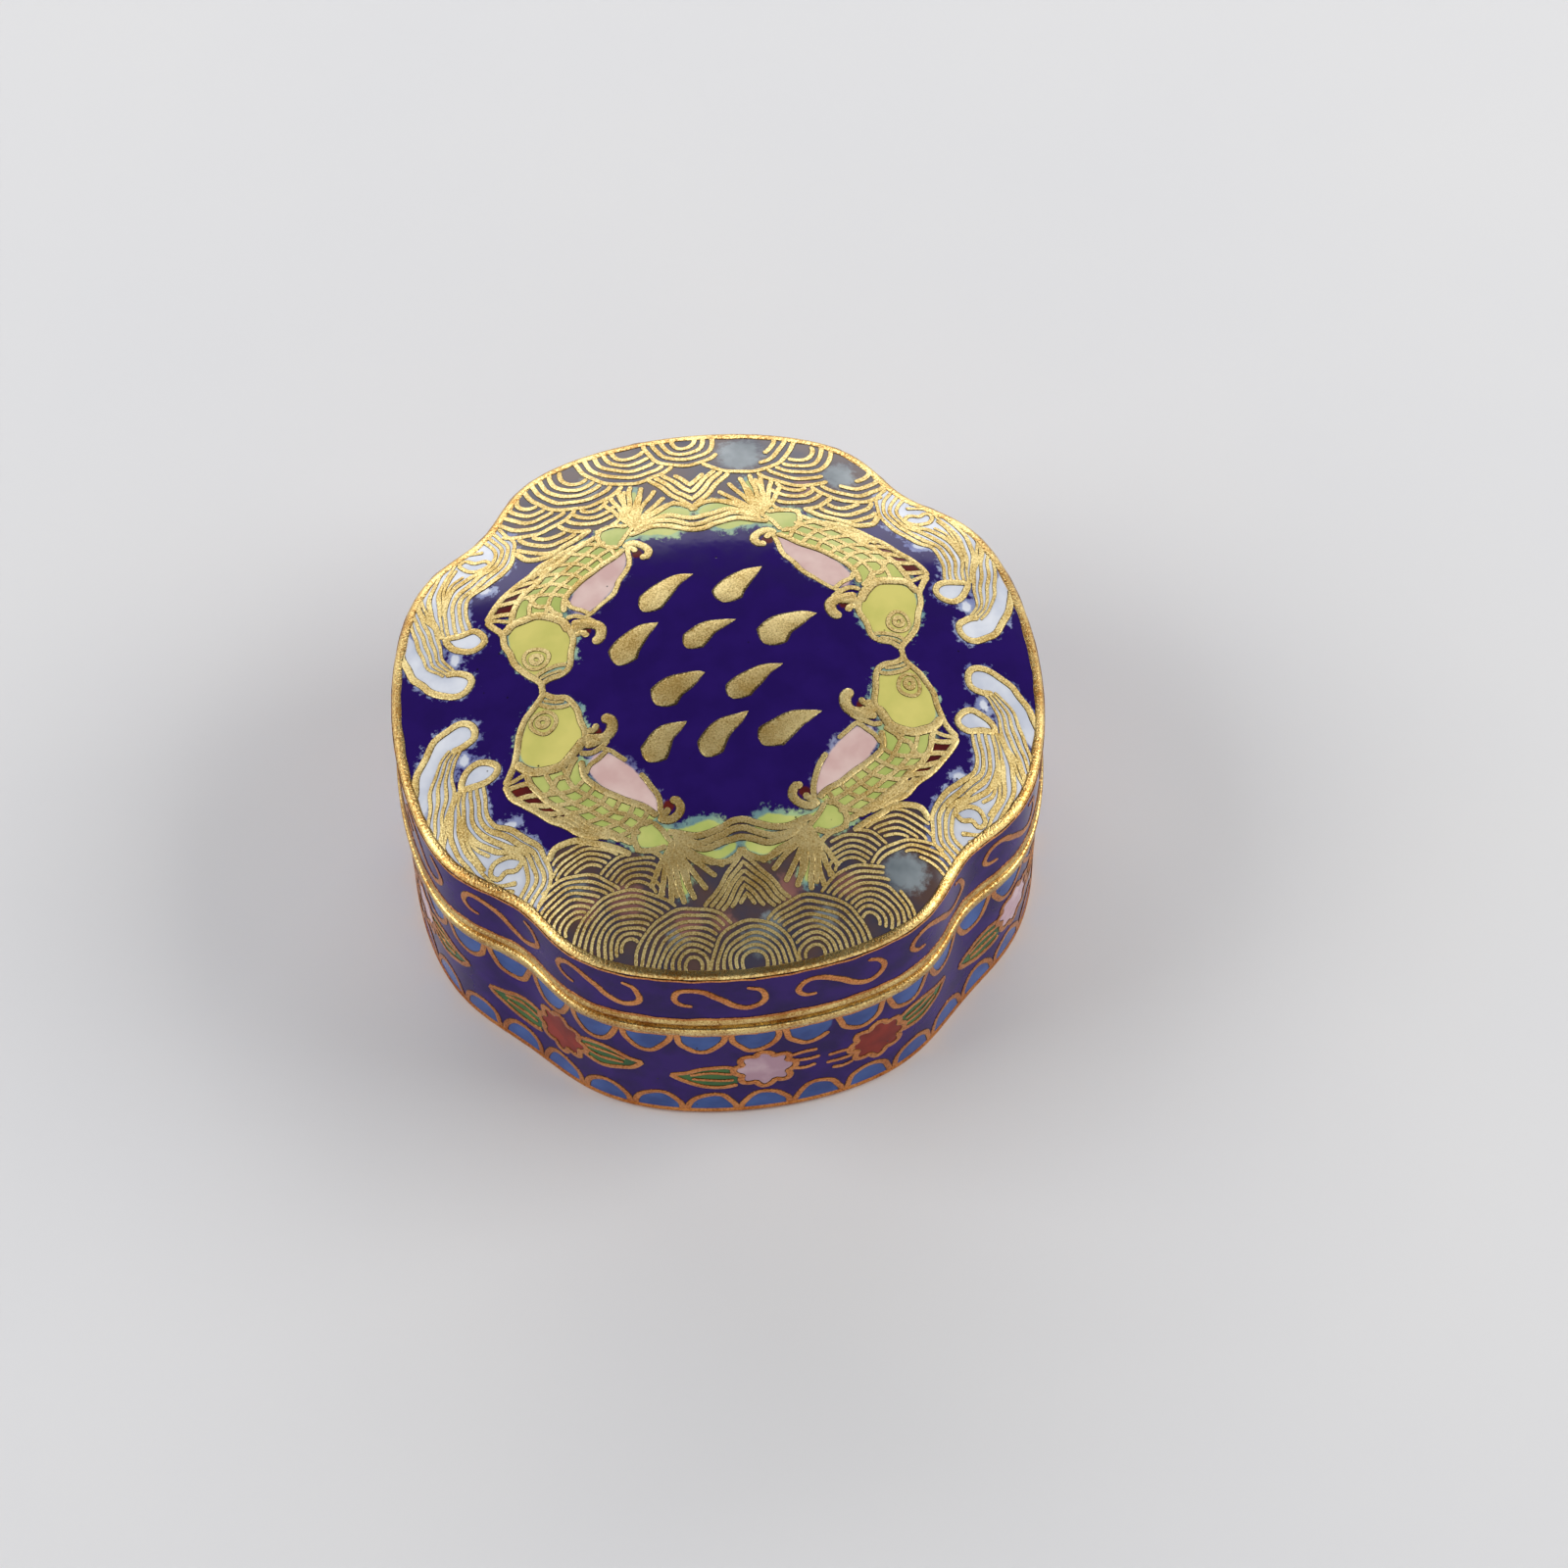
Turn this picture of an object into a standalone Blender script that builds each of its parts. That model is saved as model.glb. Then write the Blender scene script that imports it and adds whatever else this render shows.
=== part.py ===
"""Cloisonne enamel trinket box: a four-lobed bowl and the domed lid that lifts off it, shown closed.

Metres, +Z up. The origin is on the ground under the middle of the box, and a lobe faces each axis.
Run with: blender --background --python part.py
"""

import math

import bmesh
import bpy
from mathutils import Vector

# The plan, the same for the bowl and the lid: four lobes that meet in a soft notch on each diagonal.
HALF_WIDTH = 0.025  # from the centre to the middle of a lobe, on the enamelled wall
SHOULDER_SWELL = 0.0008  # how far a lobe's shoulders swell past its middle
NOTCH_DEPTH = 0.0019
NOTCH_WIDTH = 0.0047  # from the middle of the notch to where it has mostly faded out
FOOT_NOTCH_DEPTH = 0.0013  # the notch softens from the mouth down to the foot
FOOT_NOTCH_WIDTH = 0.0060
PLAN_POINTS = 96  # a multiple of eight, so that each notch and each lobe's middle has a point

# The bowl.
BOWL_HEIGHT = 0.0139  # ground to the mouth
BOWL_WALL = 0.0012
BOWL_FLOOR = 0.0014
FLOOR_FILLET = 0.0010  # where the wall meets the floor inside
FILLET_STEPS = 2
FOOT_BEVEL = 0.0003
MOUTH_BEVEL = 0.00015

# The collar inside the bowl's mouth, which the lid drops over.
COLLAR_CLEARANCE = 0.0003  # between the collar and the inside of the lid
COLLAR_THICKNESS = 0.0008
COLLAR_RISE = 0.0022  # above the mouth
COLLAR_DEPTH = 0.0018  # below the mouth
COLLAR_BEVEL = 0.0002

# The lid.
SEAM = 0.0003  # gap between the bowl's mouth and the lid's lower edge
LID_SIDE = 0.0072  # lid's lower edge to the edge of its dome
LID_WALL = 0.0012
LID_CROWN = 0.0012  # thickness of the domed top
DOME_RISE = 0.0043
RIM_ROLL = 0.0006  # radius of the rounding between the lid's side and its dome
ROLL_STEPS = 3

# The gilt bands that edge the bowl's foot and mouth, and the lid's lower edge.
FOOT_BAND = 0.0007
FOOT_BAND_PROUD = 0.0001
MOUTH_BAND = 0.0011
MOUTH_BAND_PROUD = 0.0003
LID_BAND = 0.0008
LID_BAND_PROUD = 0.00015

# The dome's rings, as shares of the way from its middle to its edge.
OUTER_DOME_RINGS = (0.11, 0.25, 0.40, 0.55, 0.69, 0.82, 0.93)
INNER_DOME_RINGS = (0.85, 0.62, 0.36)
LOBE_FADE = 2  # the power of the share by which lobes and notches fade towards the middle

SHARP_EDGE = math.radians(35)  # an edge that turns more than this is shaded as a crease

# What follows from the sizes above.
LID_FOOT = BOWL_HEIGHT + SEAM
RIM_HEIGHT = LID_FOOT + LID_SIDE


def wall_distance(angle, notch_depth, notch_width):
    """From the axis to the wall: a circle, swollen at a lobe's shoulders, less a bell curve at each notch."""
    quarter = math.pi / 2
    from_notch = (angle % quarter - quarter / 2) * HALF_WIDTH / notch_width
    swell = SHOULDER_SWELL * (1 - math.cos(4 * angle)) / 2
    return HALF_WIDTH + swell - notch_depth * math.exp(-(from_notch**2))


def outline(inset, height):
    """The plan's points at a height, set in square to the wall. Above the mouth the plan stays the same."""
    fade = max(0.0, 1 - height / BOWL_HEIGHT)
    depth = NOTCH_DEPTH + (FOOT_NOTCH_DEPTH - NOTCH_DEPTH) * fade
    width = NOTCH_WIDTH + (FOOT_NOTCH_WIDTH - NOTCH_WIDTH) * fade
    nudge = 0.001  # radians, to find which way the wall runs
    points = []
    for index in range(PLAN_POINTS):
        angle = 2 * math.pi * index / PLAN_POINTS
        behind, here, ahead = (
            Vector((math.cos(a), math.sin(a))) * wall_distance(a, depth, width)
            for a in (angle - nudge, angle, angle + nudge)
        )
        along = (ahead - behind).normalized()
        points.append(here - Vector((along.y, -along.x)) * inset)
    return points


def level(inset, height):
    """One ring of points round the wall."""
    return [(point.x, point.y, height) for point in outline(inset, height)]


def dome_level(edge_inset, thickness, share):
    """One ring of the dome: the plan shrunk to a share, on a parabola, lowered by the thickness. Its lobes
    and notches fade into a circle towards the middle."""
    height = RIM_HEIGHT - thickness + DOME_RISE * (1 - share**2)
    circle = HALF_WIDTH - edge_inset
    ring = []
    for point in outline(edge_inset, RIM_HEIGHT):
        distance = circle + (point.length - circle) * share**LOBE_FADE
        spot = point.normalized() * distance * share
        ring.append((spot.x, spot.y, height))
    return ring


def band(low, high, proud):
    """Insets and heights, from low to high, of a band that stands proud of the wall with bevelled edges."""
    return [(0.0, low), (-proud, low + proud), (-proud, high - proud), (0.0, high)]


def skin(name, rings):
    """A closed solid stretched over rings of points, in order. An end ring is closed with a flat face,
    and an end that is a single point is a pole."""
    shape = bmesh.new()
    corners = [[shape.verts.new(point) for point in ring] for ring in rings]
    for ring, following in zip(corners, corners[1:]):
        for index in range(PLAN_POINTS):
            after = (index + 1) % PLAN_POINTS
            face = [ring[index % len(ring)], ring[after % len(ring)]]
            face += [following[after % len(following)], following[index % len(following)]]
            shape.faces.new(list(dict.fromkeys(face)))  # a pole comes twice, and counts once
    for end in (corners[0], corners[-1]):
        if len(end) > 1:
            shape.faces.new(end)
    bmesh.ops.recalc_face_normals(shape, faces=shape.faces)
    mesh = bpy.data.meshes.new(name)
    shape.to_mesh(mesh)
    shape.free()
    mesh.shade_smooth()
    mesh.set_sharp_from_angle(angle=SHARP_EDGE)
    piece = bpy.data.objects.new(name, mesh)
    bpy.context.scene.collection.objects.link(piece)
    return piece


def add_bowl():
    """The bowl, from its underside round the outside, over the collar and down to its inner floor."""
    foot = [(FOOT_BEVEL - FOOT_BAND_PROUD, 0.0), (-FOOT_BAND_PROUD, FOOT_BEVEL)]
    foot += band(0.0, FOOT_BAND, FOOT_BAND_PROUD)[2:]
    mouth = band(BOWL_HEIGHT - MOUTH_BAND, BOWL_HEIGHT, MOUTH_BAND_PROUD)[:2]
    mouth += [(-MOUTH_BAND_PROUD, BOWL_HEIGHT - MOUTH_BEVEL)]
    mouth += [(MOUTH_BEVEL - MOUTH_BAND_PROUD, BOWL_HEIGHT)]
    outer = LID_WALL + COLLAR_CLEARANCE
    inner = outer + COLLAR_THICKNESS
    top = BOWL_HEIGHT + COLLAR_RISE
    bottom = BOWL_HEIGHT - COLLAR_DEPTH
    collar = [(outer, BOWL_HEIGHT), (outer, top - COLLAR_BEVEL), (outer + COLLAR_BEVEL, top)]
    collar += [(inner - COLLAR_BEVEL, top), (inner, top - COLLAR_BEVEL), (inner, bottom)]
    inside = [(BOWL_WALL, bottom)]
    for step in range(FILLET_STEPS + 1):
        turn = math.pi / 2 * step / FILLET_STEPS
        inset = BOWL_WALL + FLOOR_FILLET * (1 - math.cos(turn))
        inside.append((inset, BOWL_FLOOR + FLOOR_FILLET * (1 - math.sin(turn))))
    profile = foot + [(0.0, BOWL_HEIGHT / 2)] + mouth + collar + inside
    return skin("bowl", [level(inset, height) for inset, height in profile])


def add_lid():
    """The lid, from the middle of its dome down the outside, and up the inside to the middle again."""
    roll_turn = math.pi / 2 - math.atan(2 * DOME_RISE / HALF_WIDTH)  # where the roll has the dome's slope
    roll = []
    for step in range(ROLL_STEPS + 1):
        turn = roll_turn * (1 - step / ROLL_STEPS)
        inset = RIM_ROLL * (1 - math.cos(turn))
        roll.append((inset, RIM_HEIGHT - RIM_ROLL * (math.sin(roll_turn) - math.sin(turn))))
    dome_inset = roll[0][0]
    edge = band(LID_FOOT, LID_FOOT + LID_BAND, LID_BAND_PROUD)[::-1]
    edge += [(LID_WALL, LID_FOOT), (LID_WALL, RIM_HEIGHT - LID_CROWN)]
    rings = [[(0.0, 0.0, RIM_HEIGHT + DOME_RISE)]]
    rings += [dome_level(dome_inset, 0.0, share) for share in OUTER_DOME_RINGS]
    rings += [level(inset, height) for inset, height in roll + edge]
    rings += [dome_level(LID_WALL, LID_CROWN, share) for share in INNER_DOME_RINGS]
    rings.append([(0.0, 0.0, RIM_HEIGHT + DOME_RISE - LID_CROWN)])
    return skin("lid", rings)


def enamel(name, colour, roughness):
    """A Principled material for fired enamel, which is glass on copper."""
    material = bpy.data.materials.new(name)
    material.use_nodes = True
    shader = material.node_tree.nodes["Principled BSDF"]
    shader.inputs["Base Color"].default_value = (*colour, 1.0)
    shader.inputs["Roughness"].default_value = roughness
    shader.inputs["Metallic"].default_value = 0.0
    return material


def build():
    """Remove what the scene holds, then add the two pieces of the box."""
    for thing in list(bpy.data.objects):
        bpy.data.objects.remove(thing, do_unlink=True)
    add_bowl().data.materials.append(enamel("violet_enamel", (0.033, 0.010, 0.144), 0.15))
    add_lid().data.materials.append(enamel("indigo_enamel", (0.028, 0.011, 0.133), 0.12))


build()
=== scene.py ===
# %% [markdown]
# # A cloisonne trinket box
#
# Cloisonne is a picture in glass. Thin wires are laid on a copper body, the cells between them are filled
# with ground enamel and fired, and the face is ground flat and gilded, so that only the wires take the gold.
# The box here is 50 mm across: a four-lobed bowl, and a low domed lid that lifts off. The lid's picture has
# two pairs of carp that meet nose to nose, with waves behind and before them and foam at the sides.
#
# This lesson dresses a finished solid model of it. Two fine enamel skins take the place of the plain bowl
# and lid, the wires are raised metal ribbons laid along curves on those skins, and the colours of the cells
# are worked out from how far each point of the skin lies from each cell's outline.

import bpy
import numpy as np
from mathutils import Matrix, Vector


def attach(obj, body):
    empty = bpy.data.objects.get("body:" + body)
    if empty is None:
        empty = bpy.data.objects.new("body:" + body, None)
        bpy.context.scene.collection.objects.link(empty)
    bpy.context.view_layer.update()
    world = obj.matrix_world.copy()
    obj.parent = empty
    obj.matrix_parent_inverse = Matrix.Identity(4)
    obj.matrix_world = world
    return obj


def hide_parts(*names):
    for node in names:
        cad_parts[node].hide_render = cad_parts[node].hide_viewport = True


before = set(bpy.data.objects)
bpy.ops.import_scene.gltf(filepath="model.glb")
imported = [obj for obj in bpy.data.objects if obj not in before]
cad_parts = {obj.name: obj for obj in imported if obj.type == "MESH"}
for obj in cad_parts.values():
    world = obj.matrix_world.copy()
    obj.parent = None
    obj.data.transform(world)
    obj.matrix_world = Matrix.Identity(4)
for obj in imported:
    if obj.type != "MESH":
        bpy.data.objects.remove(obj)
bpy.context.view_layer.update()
MM = 0.001  # sizes below are in millimetres, and meshes are written in metres
TURN = 2 * np.pi

# %% [markdown]
# ## The plan of the box
#
# The bowl and the lid share one outline: a circle, swollen a little at each lobe's shoulders, with a soft
# notch on each diagonal. A formula gives it at any angle, and an inset moves it in, square to the wall. It
# could be drawn as a curve, point by point, but every wire on the side has to follow it, and a formula can
# be asked for a point anywhere.

# %% Sizes of the bowl and the lid
HALF_WIDTH = 25.0
SHOULDER_SWELL = 0.8
NOTCH_DEPTH, NOTCH_WIDTH = 1.9, 4.7
FOOT_NOTCH_DEPTH, FOOT_NOTCH_WIDTH = 1.3, 6.0
BOWL_HEIGHT, BOWL_WALL, BOWL_FLOOR = 13.9, 1.2, 1.4
COLLAR_INSET, COLLAR_THICKNESS, COLLAR_RISE, COLLAR_DEPTH = 1.5, 0.8, 2.2, 1.8
LID_FOOT, LID_WALL, LID_CROWN = 14.2, 1.2, 1.2
RIM_HEIGHT, DOME_RISE, RIM_ROLL = 21.4, 4.3, 0.6
FOOT_BAND, MOUTH_BAND, LID_BAND = 0.7, 1.1, 0.8
FOOT_BAND_PROUD, MOUTH_BAND_PROUD, LID_BAND_PROUD = 0.1, 0.3, 0.15
ROLL_TURN = np.pi / 2 - np.arctan(2 * DOME_RISE / HALF_WIDTH)
DOME_INSET = RIM_ROLL * (1 - np.cos(ROLL_TURN))


def outline(angle, inset=0.0, fade=0.0):
    """Points of the plan and the directions out of it. The distance from the middle is the half width, plus
    half the swell times one less the cosine of four times the angle, less the notch depth times a bell
    curve of the distance from the nearest diagonal. Fade goes from 0 at the mouth to 1 at the foot."""
    depth = NOTCH_DEPTH + (FOOT_NOTCH_DEPTH - NOTCH_DEPTH) * fade
    width = NOTCH_WIDTH + (FOOT_NOTCH_WIDTH - NOTCH_WIDTH) * fade

    def spot(a):
        from_notch = (a % (TURN / 4) - TURN / 8) * HALF_WIDTH / width
        away = HALF_WIDTH + SHOULDER_SWELL * (1 - np.cos(4 * a)) / 2 - depth * np.exp(-(from_notch**2))
        return np.stack([away * np.cos(a), away * np.sin(a)], -1)

    nudge = 0.001
    along = spot(angle + nudge) - spot(angle - nudge)
    along /= np.linalg.norm(along, axis=-1, keepdims=True)
    outward = np.stack([along[..., 1], -along[..., 0]], -1)
    return spot(angle) - outward * np.asarray(inset)[..., None], outward


def lengths_along(points):
    """How far along a path each of its points lies: the steps between them, added up."""
    return np.append(0, np.cumsum(np.linalg.norm(np.diff(points, axis=0), axis=1)))


ALL_ROUND = np.linspace(0, TURN, 2880, endpoint=False)
EDGE = outline(ALL_ROUND, DOME_INSET)[0]
EDGE_ANGLE = np.arctan2(EDGE[:, 1], EDGE[:, 0]) % TURN
EDGE_AWAY = np.linalg.norm(EDGE, axis=1)
WALL = outline(np.append(ALL_ROUND, TURN))[0]
WALL_RUN = lengths_along(WALL)
GIRTH = WALL_RUN[-1]
FRONT_RUN = 0.75 * GIRTH  # the run round the wall starts at +X, and the front faces -Y
print(f"girth of the wall {GIRTH:.1f} mm")

# %% [markdown]
# ## Two maps: onto the dome and onto the wall
#
# The ornament is designed flat, as it would be on paper, and then laid on the box. For the lid's picture the
# paper lies on the plan, in millimetres right and back from the middle. For the side it is wrapped round
# the wall: millimetres to the right of the front's middle, and height. Each map also lifts a point off the
# surface, so one ribbon function can serve both.


# %% Map a flat design onto the box
def dome_share(x, y):
    """How far a plan point lies from the dome's middle, as a share of the way to its edge. The lobes fade
    inwards with the square of the share, so this solves a cubic, by Newton's method."""
    away, angle = np.hypot(x, y), np.arctan2(y, x) % TURN
    edge = np.interp(angle, EDGE_ANGLE, EDGE_AWAY, period=TURN)
    circle = HALF_WIDTH - DOME_INSET
    share = away / edge
    for _ in range(5):
        excess = share * (circle + (edge - circle) * share**2) - away
        share = share - excess / (circle + 3 * (edge - circle) * share**2)
    return share


def on_dome(flat, lift):
    """A plan point on the dome, moved off it by the lift: the height is the rim's, plus the rise times one
    less the share squared, and the normal comes from the slope between points a step apart."""

    def height(x, y):
        return RIM_HEIGHT + DOME_RISE * (1 - dome_share(x, y) ** 2)

    x, y, step = flat[..., 0], flat[..., 1], 0.05
    slope_x = (height(x + step, y) - height(x - step, y)) / (2 * step)
    slope_y = (height(x, y + step) - height(x, y - step)) / (2 * step)
    normal = np.stack([-slope_x, -slope_y, np.ones_like(x)], -1)
    normal /= np.linalg.norm(normal, axis=-1, keepdims=True)
    return np.stack([x, y, height(x, y)], -1) + normal * np.asarray(lift)[..., None]


NUDGE, NUDGE_FULL = 1.9, 13.0  # the most that a figure is moved, and how far right that is reached


def nudge_of(flat):
    """How far right a point of the drawing lies from where it was drawn: the nudge, times the square of one
    less the squared share of the way to the rim, times the share of the way to where it is full."""
    inwards = np.clip(1 - (flat**2).sum(-1) / HALF_WIDTH**2, 0, 1)
    return NUDGE * inwards**2 * np.clip(flat[..., 0] / NUDGE_FULL, 0, 1)


def on_picture(flat, lift):
    """A point of the drawing on the dome. The figures of the right half sit up to a millimetre further out
    than those of the left, because the maker bent each wire anew."""
    return on_dome(np.stack([flat[..., 0] + nudge_of(flat), flat[..., 1]], -1), lift)


def drawn_at(plan):
    """Which point of the drawing lies at a plan point, found by taking the nudge off a few times."""
    flat = plan.copy()
    for _ in range(4):
        flat[:, 0] = plan[:, 0] - nudge_of(flat)
    return flat


def on_wall(flat, lift):
    """A point of the side, from its run to the right of the front's middle and its height, moved out by the
    lift. The run is turned into an angle by a table of the wall's length."""
    angle = np.interp((flat[..., 0] + FRONT_RUN) % GIRTH, WALL_RUN, np.append(ALL_ROUND, TURN))
    fade = np.clip(1 - flat[..., 1] / BOWL_HEIGHT, 0, 1)
    plan, outward = outline(angle, 0.0, fade)
    plan = plan + outward * np.asarray(lift)[..., None]
    return np.concatenate([plan, flat[..., 1:2]], -1)


print("dome at the middle of a lobe:", on_dome(np.array([[20.0, 0.0]]), 0.0).round(2))

# %% [markdown]
# ## Meshes from whole arrays
#
# Every shape here is a grid: rings of points stretched into a skin, or a profile carried along a path. One
# function writes such a grid as a mesh, and closes its ends with a pole or with a flat face.


# %% Write a grid of points as a mesh
def grid_faces(rows, columns, wrap_rows=False):
    """Four-sided faces of a grid whose columns join up again, as corner numbers. Rows may join up too."""
    row, column = np.meshgrid(np.arange(rows if wrap_rows else rows - 1), np.arange(columns), indexing="ij")
    after, below = (column + 1) % columns, (row + 1) % rows
    corners = [(row, column), (row, after), (below, after), (below, column)]
    return np.stack([down * columns + across for down, across in corners], -1).reshape(-1, 4)


def add_mesh(name, points, faces, slot, materials):
    """A named object from points in millimetres and faces of corner numbers, which rides on the box."""
    mesh = bpy.data.meshes.new(name)
    mesh.from_pydata((np.asarray(points) * MM).tolist(), [], faces)
    mesh.shade_smooth()
    for material in materials:
        mesh.materials.append(material)
    piece = bpy.data.objects.new(name, mesh)
    bpy.context.scene.collection.objects.link(piece)
    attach(piece, "root")
    return piece


def add_skin(name, rings, slot, materials, material_of_ring):
    """A closed skin over rings of points, from a pole at the middle of the first to one at the middle of
    the last. Each band between two rings takes the material that its upper ring names."""
    rows, columns = rings.shape[:2]
    poles = rings[[0, -1]].mean(1)
    points = np.concatenate([rings.reshape(-1, 3), poles])
    column = np.arange(columns)
    after, last = (column + 1) % columns, (rows - 1) * columns
    first_fan = np.stack([after, column, np.full(columns, rows * columns)], -1)
    last_fan = np.stack([last + column, last + after, np.full(columns, rows * columns + 1)], -1)
    faces = grid_faces(rows, columns).tolist() + first_fan.tolist() + last_fan.tolist()
    piece = add_mesh(name, points, faces, slot, materials)
    finish = np.repeat(material_of_ring[:-1], columns)
    finish = np.concatenate([finish, np.repeat(material_of_ring[[0, -1]], columns)])
    piece.data.polygons.foreach_set("material_index", finish.astype(np.int32))
    return piece, points


def store(piece, name, values):
    """Keep one number for each point of a piece, for its material to read."""
    piece.data.attributes.new(name, "FLOAT", "POINT").data.foreach_set("value", values.astype(np.float32))


# %% [markdown]
# ## Smooth paths and wires
#
# A wire starts as a few chosen points. A Catmull-Rom curve runs smoothly through them, and then a flat-topped
# profile with rounded shoulders is carried along it. The ends are drawn in to a half circle, as a snipped
# and ground wire has. The profile stores how near each of its points lies to the wire's edge, so that the
# gilding can take a painted shade there.

# %% Curves through chosen points
WIRE_PROUD = 0.05  # how far the wires stand above the enamel
# The skirts are dark from the gilding's painted shade along each wire's edge.
WIRE_SUNK = 0.03  # how far their dark skirts run down into it
STACK_STEP, STACK_LEVELS = 0.0013, 9  # each wire stands a step higher than the last, and the levels repeat


def smooth(points, closed=False, step=0.25):
    """A Catmull-Rom curve through the points, resampled evenly along its length. Between two points it is
    the cubic whose slope at each of them is half the vector between that point's neighbours."""
    p = np.asarray(points, float)
    p = np.vstack([p[-1], p, p[:2]]) if closed else np.vstack([2 * p[0] - p[1], p, 2 * p[-1] - p[-2]])
    t = np.linspace(0, 1, 24, endpoint=False)[None, :, None]
    a, b, c, d = (p[k : len(p) - 3 + k, None, :] for k in range(4))
    run = 0.5 * (2 * b + (c - a) * t + (2 * a - 5 * b + 4 * c - d) * t**2 + (3 * b - a - 3 * c + d) * t**3)
    run = np.vstack([run.reshape(-1, 2), p[-2]])
    return resample(run, step)


def points_at(spots, known, run):
    """Points of a path at the given spots, where known holds the spot of each of its own points."""
    return np.stack([np.interp(spots, known, run[:, k]) for k in range(2)], -1)


def resample(run, step=0.25):
    """The same path with its points the same distance apart."""
    length = lengths_along(run)
    count = max(3, int(round(length[-1] / step)) + 1)
    return points_at(np.linspace(0, length[-1], count), length, run)


def arc(centre, radius, start, end, step=0.25):
    """Points on a circle, or an ellipse for two radii, between two angles in degrees."""
    wide, high = np.broadcast_to(radius, 2)
    count = max(4, int(abs(end - start) / 360 * TURN * max(wide, high) / step) + 1)
    angle = np.radians(np.linspace(start, end, count))
    return np.stack([centre[0] + wide * np.cos(angle), centre[1] + high * np.sin(angle)], -1)


# %% Wires along the curves
PROFILE_ACROSS = np.array([-1.24, -0.98, -0.86, 0.86, 0.98, 1.24])
PROFILE_LIFT = np.array([-WIRE_SUNK, 0.8 * WIRE_PROUD, WIRE_PROUD, WIRE_PROUD, 0.8 * WIRE_PROUD, -WIRE_SUNK])
PROFILE_EDGE = np.array([1, 0.6, 0, 0, 0.6, 1])
TIP_SPOTS = np.array([0.0, 0.06, 0.2, 0.45, 0.75])  # where a round end has its points, in half widths
SWAY = ((0.05, 1.7, 1.1, 0), (0.04, -1.3, 2.9, 1), (0.03, 1.1, -2.3, 2))  # size, turns right and back, start
ROCK = ((0.05, -1.2, 1.4, 3), (0.04, 2.7, 0.8, 0), (0.03, 0.7, 2.2, 4))


def ribbon(run, width, onto, closed=False, blunt=False, raised=0.0):
    """Points, faces and edge values of one wire. Each path point carries the profile, scaled across by half
    the width there. An end's width follows a half circle: the root of one less the square of how far the
    point is into the last half width."""
    if closed:
        run = run[:-1] if np.allclose(run[0], run[-1]) else run
        along = np.roll(run, -1, 0) - np.roll(run, 1, 0)
        half = np.broadcast_to(np.asarray(width) / 2, len(run)).copy()
    else:
        length = lengths_along(run)
        mean = float(np.mean(width)) / 2
        tips = mean * TIP_SPOTS
        middle = length[(length > mean) & (length < length[-1] - mean)]
        spots = np.unique(np.concatenate([tips, middle, length[-1] - tips]))
        wide = np.interp(spots, length, np.broadcast_to(width, len(run)))
        run = points_at(spots, length, run)
        along = np.gradient(run, axis=0)
        into = np.clip(np.minimum(spots, length[-1] - spots) / mean, 0, 1)
        rounding = 1.0 if blunt else np.sqrt(np.clip(1 - (1 - into) ** 2, 0.01, 1))
        half = wide / 2 * rounding
    along /= np.maximum(np.linalg.norm(along, axis=1, keepdims=True), 1e-9)
    across = np.stack([along[:, 1], -along[:, 0]], -1)
    flat = run[:, None] + across[:, None] * (half[:, None] * PROFILE_ACROSS)[..., None]
    points = onto(flat, np.broadcast_to(PROFILE_LIFT + raised, flat.shape[:2]))
    rows, columns = flat.shape[:2]
    faces = grid_faces(rows, columns, wrap_rows=closed).tolist()
    if not closed:
        faces += [list(range(columns))[::-1], list(range((rows - 1) * columns, rows * columns))]
    return points.reshape(-1, 3), faces, np.tile(PROFILE_EDGE, rows)


def unsteady(run):
    """The same path made a little unsteady: in each direction, three sine waves, 2 to 6 mm long, that cross
    the design."""
    drift = []
    for waves in (SWAY, ROCK):
        crests = [size * np.sin(x * run[:, 0] + y * run[:, 1] + start) for size, x, y, start in waves]
        drift.append(np.sum(crests, axis=0))
    return run + np.stack(drift, -1)


def add_wires(name, wires, onto, material):
    """One piece from many wires, each a dictionary of what ribbon takes. Each wire stands a hair higher or
    lower than the next, so that where two cross no faces lie in one plane."""
    points, faces, edges, first = [], [], [], 0
    for index, wire in enumerate(wires):
        wire = dict(wire, run=unsteady(wire["run"]))
        spots, corners, edge = ribbon(onto=onto, raised=STACK_STEP * (index % STACK_LEVELS), **wire)
        points.append(spots)
        faces += [[first + corner for corner in face] for face in corners]
        edges.append(edge)
        first += len(spots)
    piece = add_mesh(name, np.concatenate(points), faces, "gilt", [material])
    piece.data.set_sharp_from_angle(angle=np.radians(20))
    store(piece, "edge", np.concatenate(edges))
    print(f"{name}: {len(wires)} wires, {sum(len(face) - 2 for face in faces)} triangles")
    return piece


def mirrored(wires, front_back=True):
    """The same wires on the left of the picture too, or in all four quarters of it."""
    signs = [(1, 1), (-1, 1)] + [(1, -1), (-1, -1)] * front_back
    return [dict(wire, run=wire["run"] * sign) for sign in signs for wire in wires]


# %% [markdown]
# ## Cells of colour
#
# On the real box each cell holds its own glass. Cutting the skin along every wire would make a mesh that is
# hard to change, and painting a picture would blur. Here each point of the skin gets a number for each
# colour: its distance from the outline of the nearest cell of that colour, less than zero inside. A material
# turns that into a sharp or a ragged edge, at any size.


# %% Distance from an outline
FAR, REACH = 9.0, 3.0  # the distance stored where no cell is near, and how near a cell has to be to count


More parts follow.
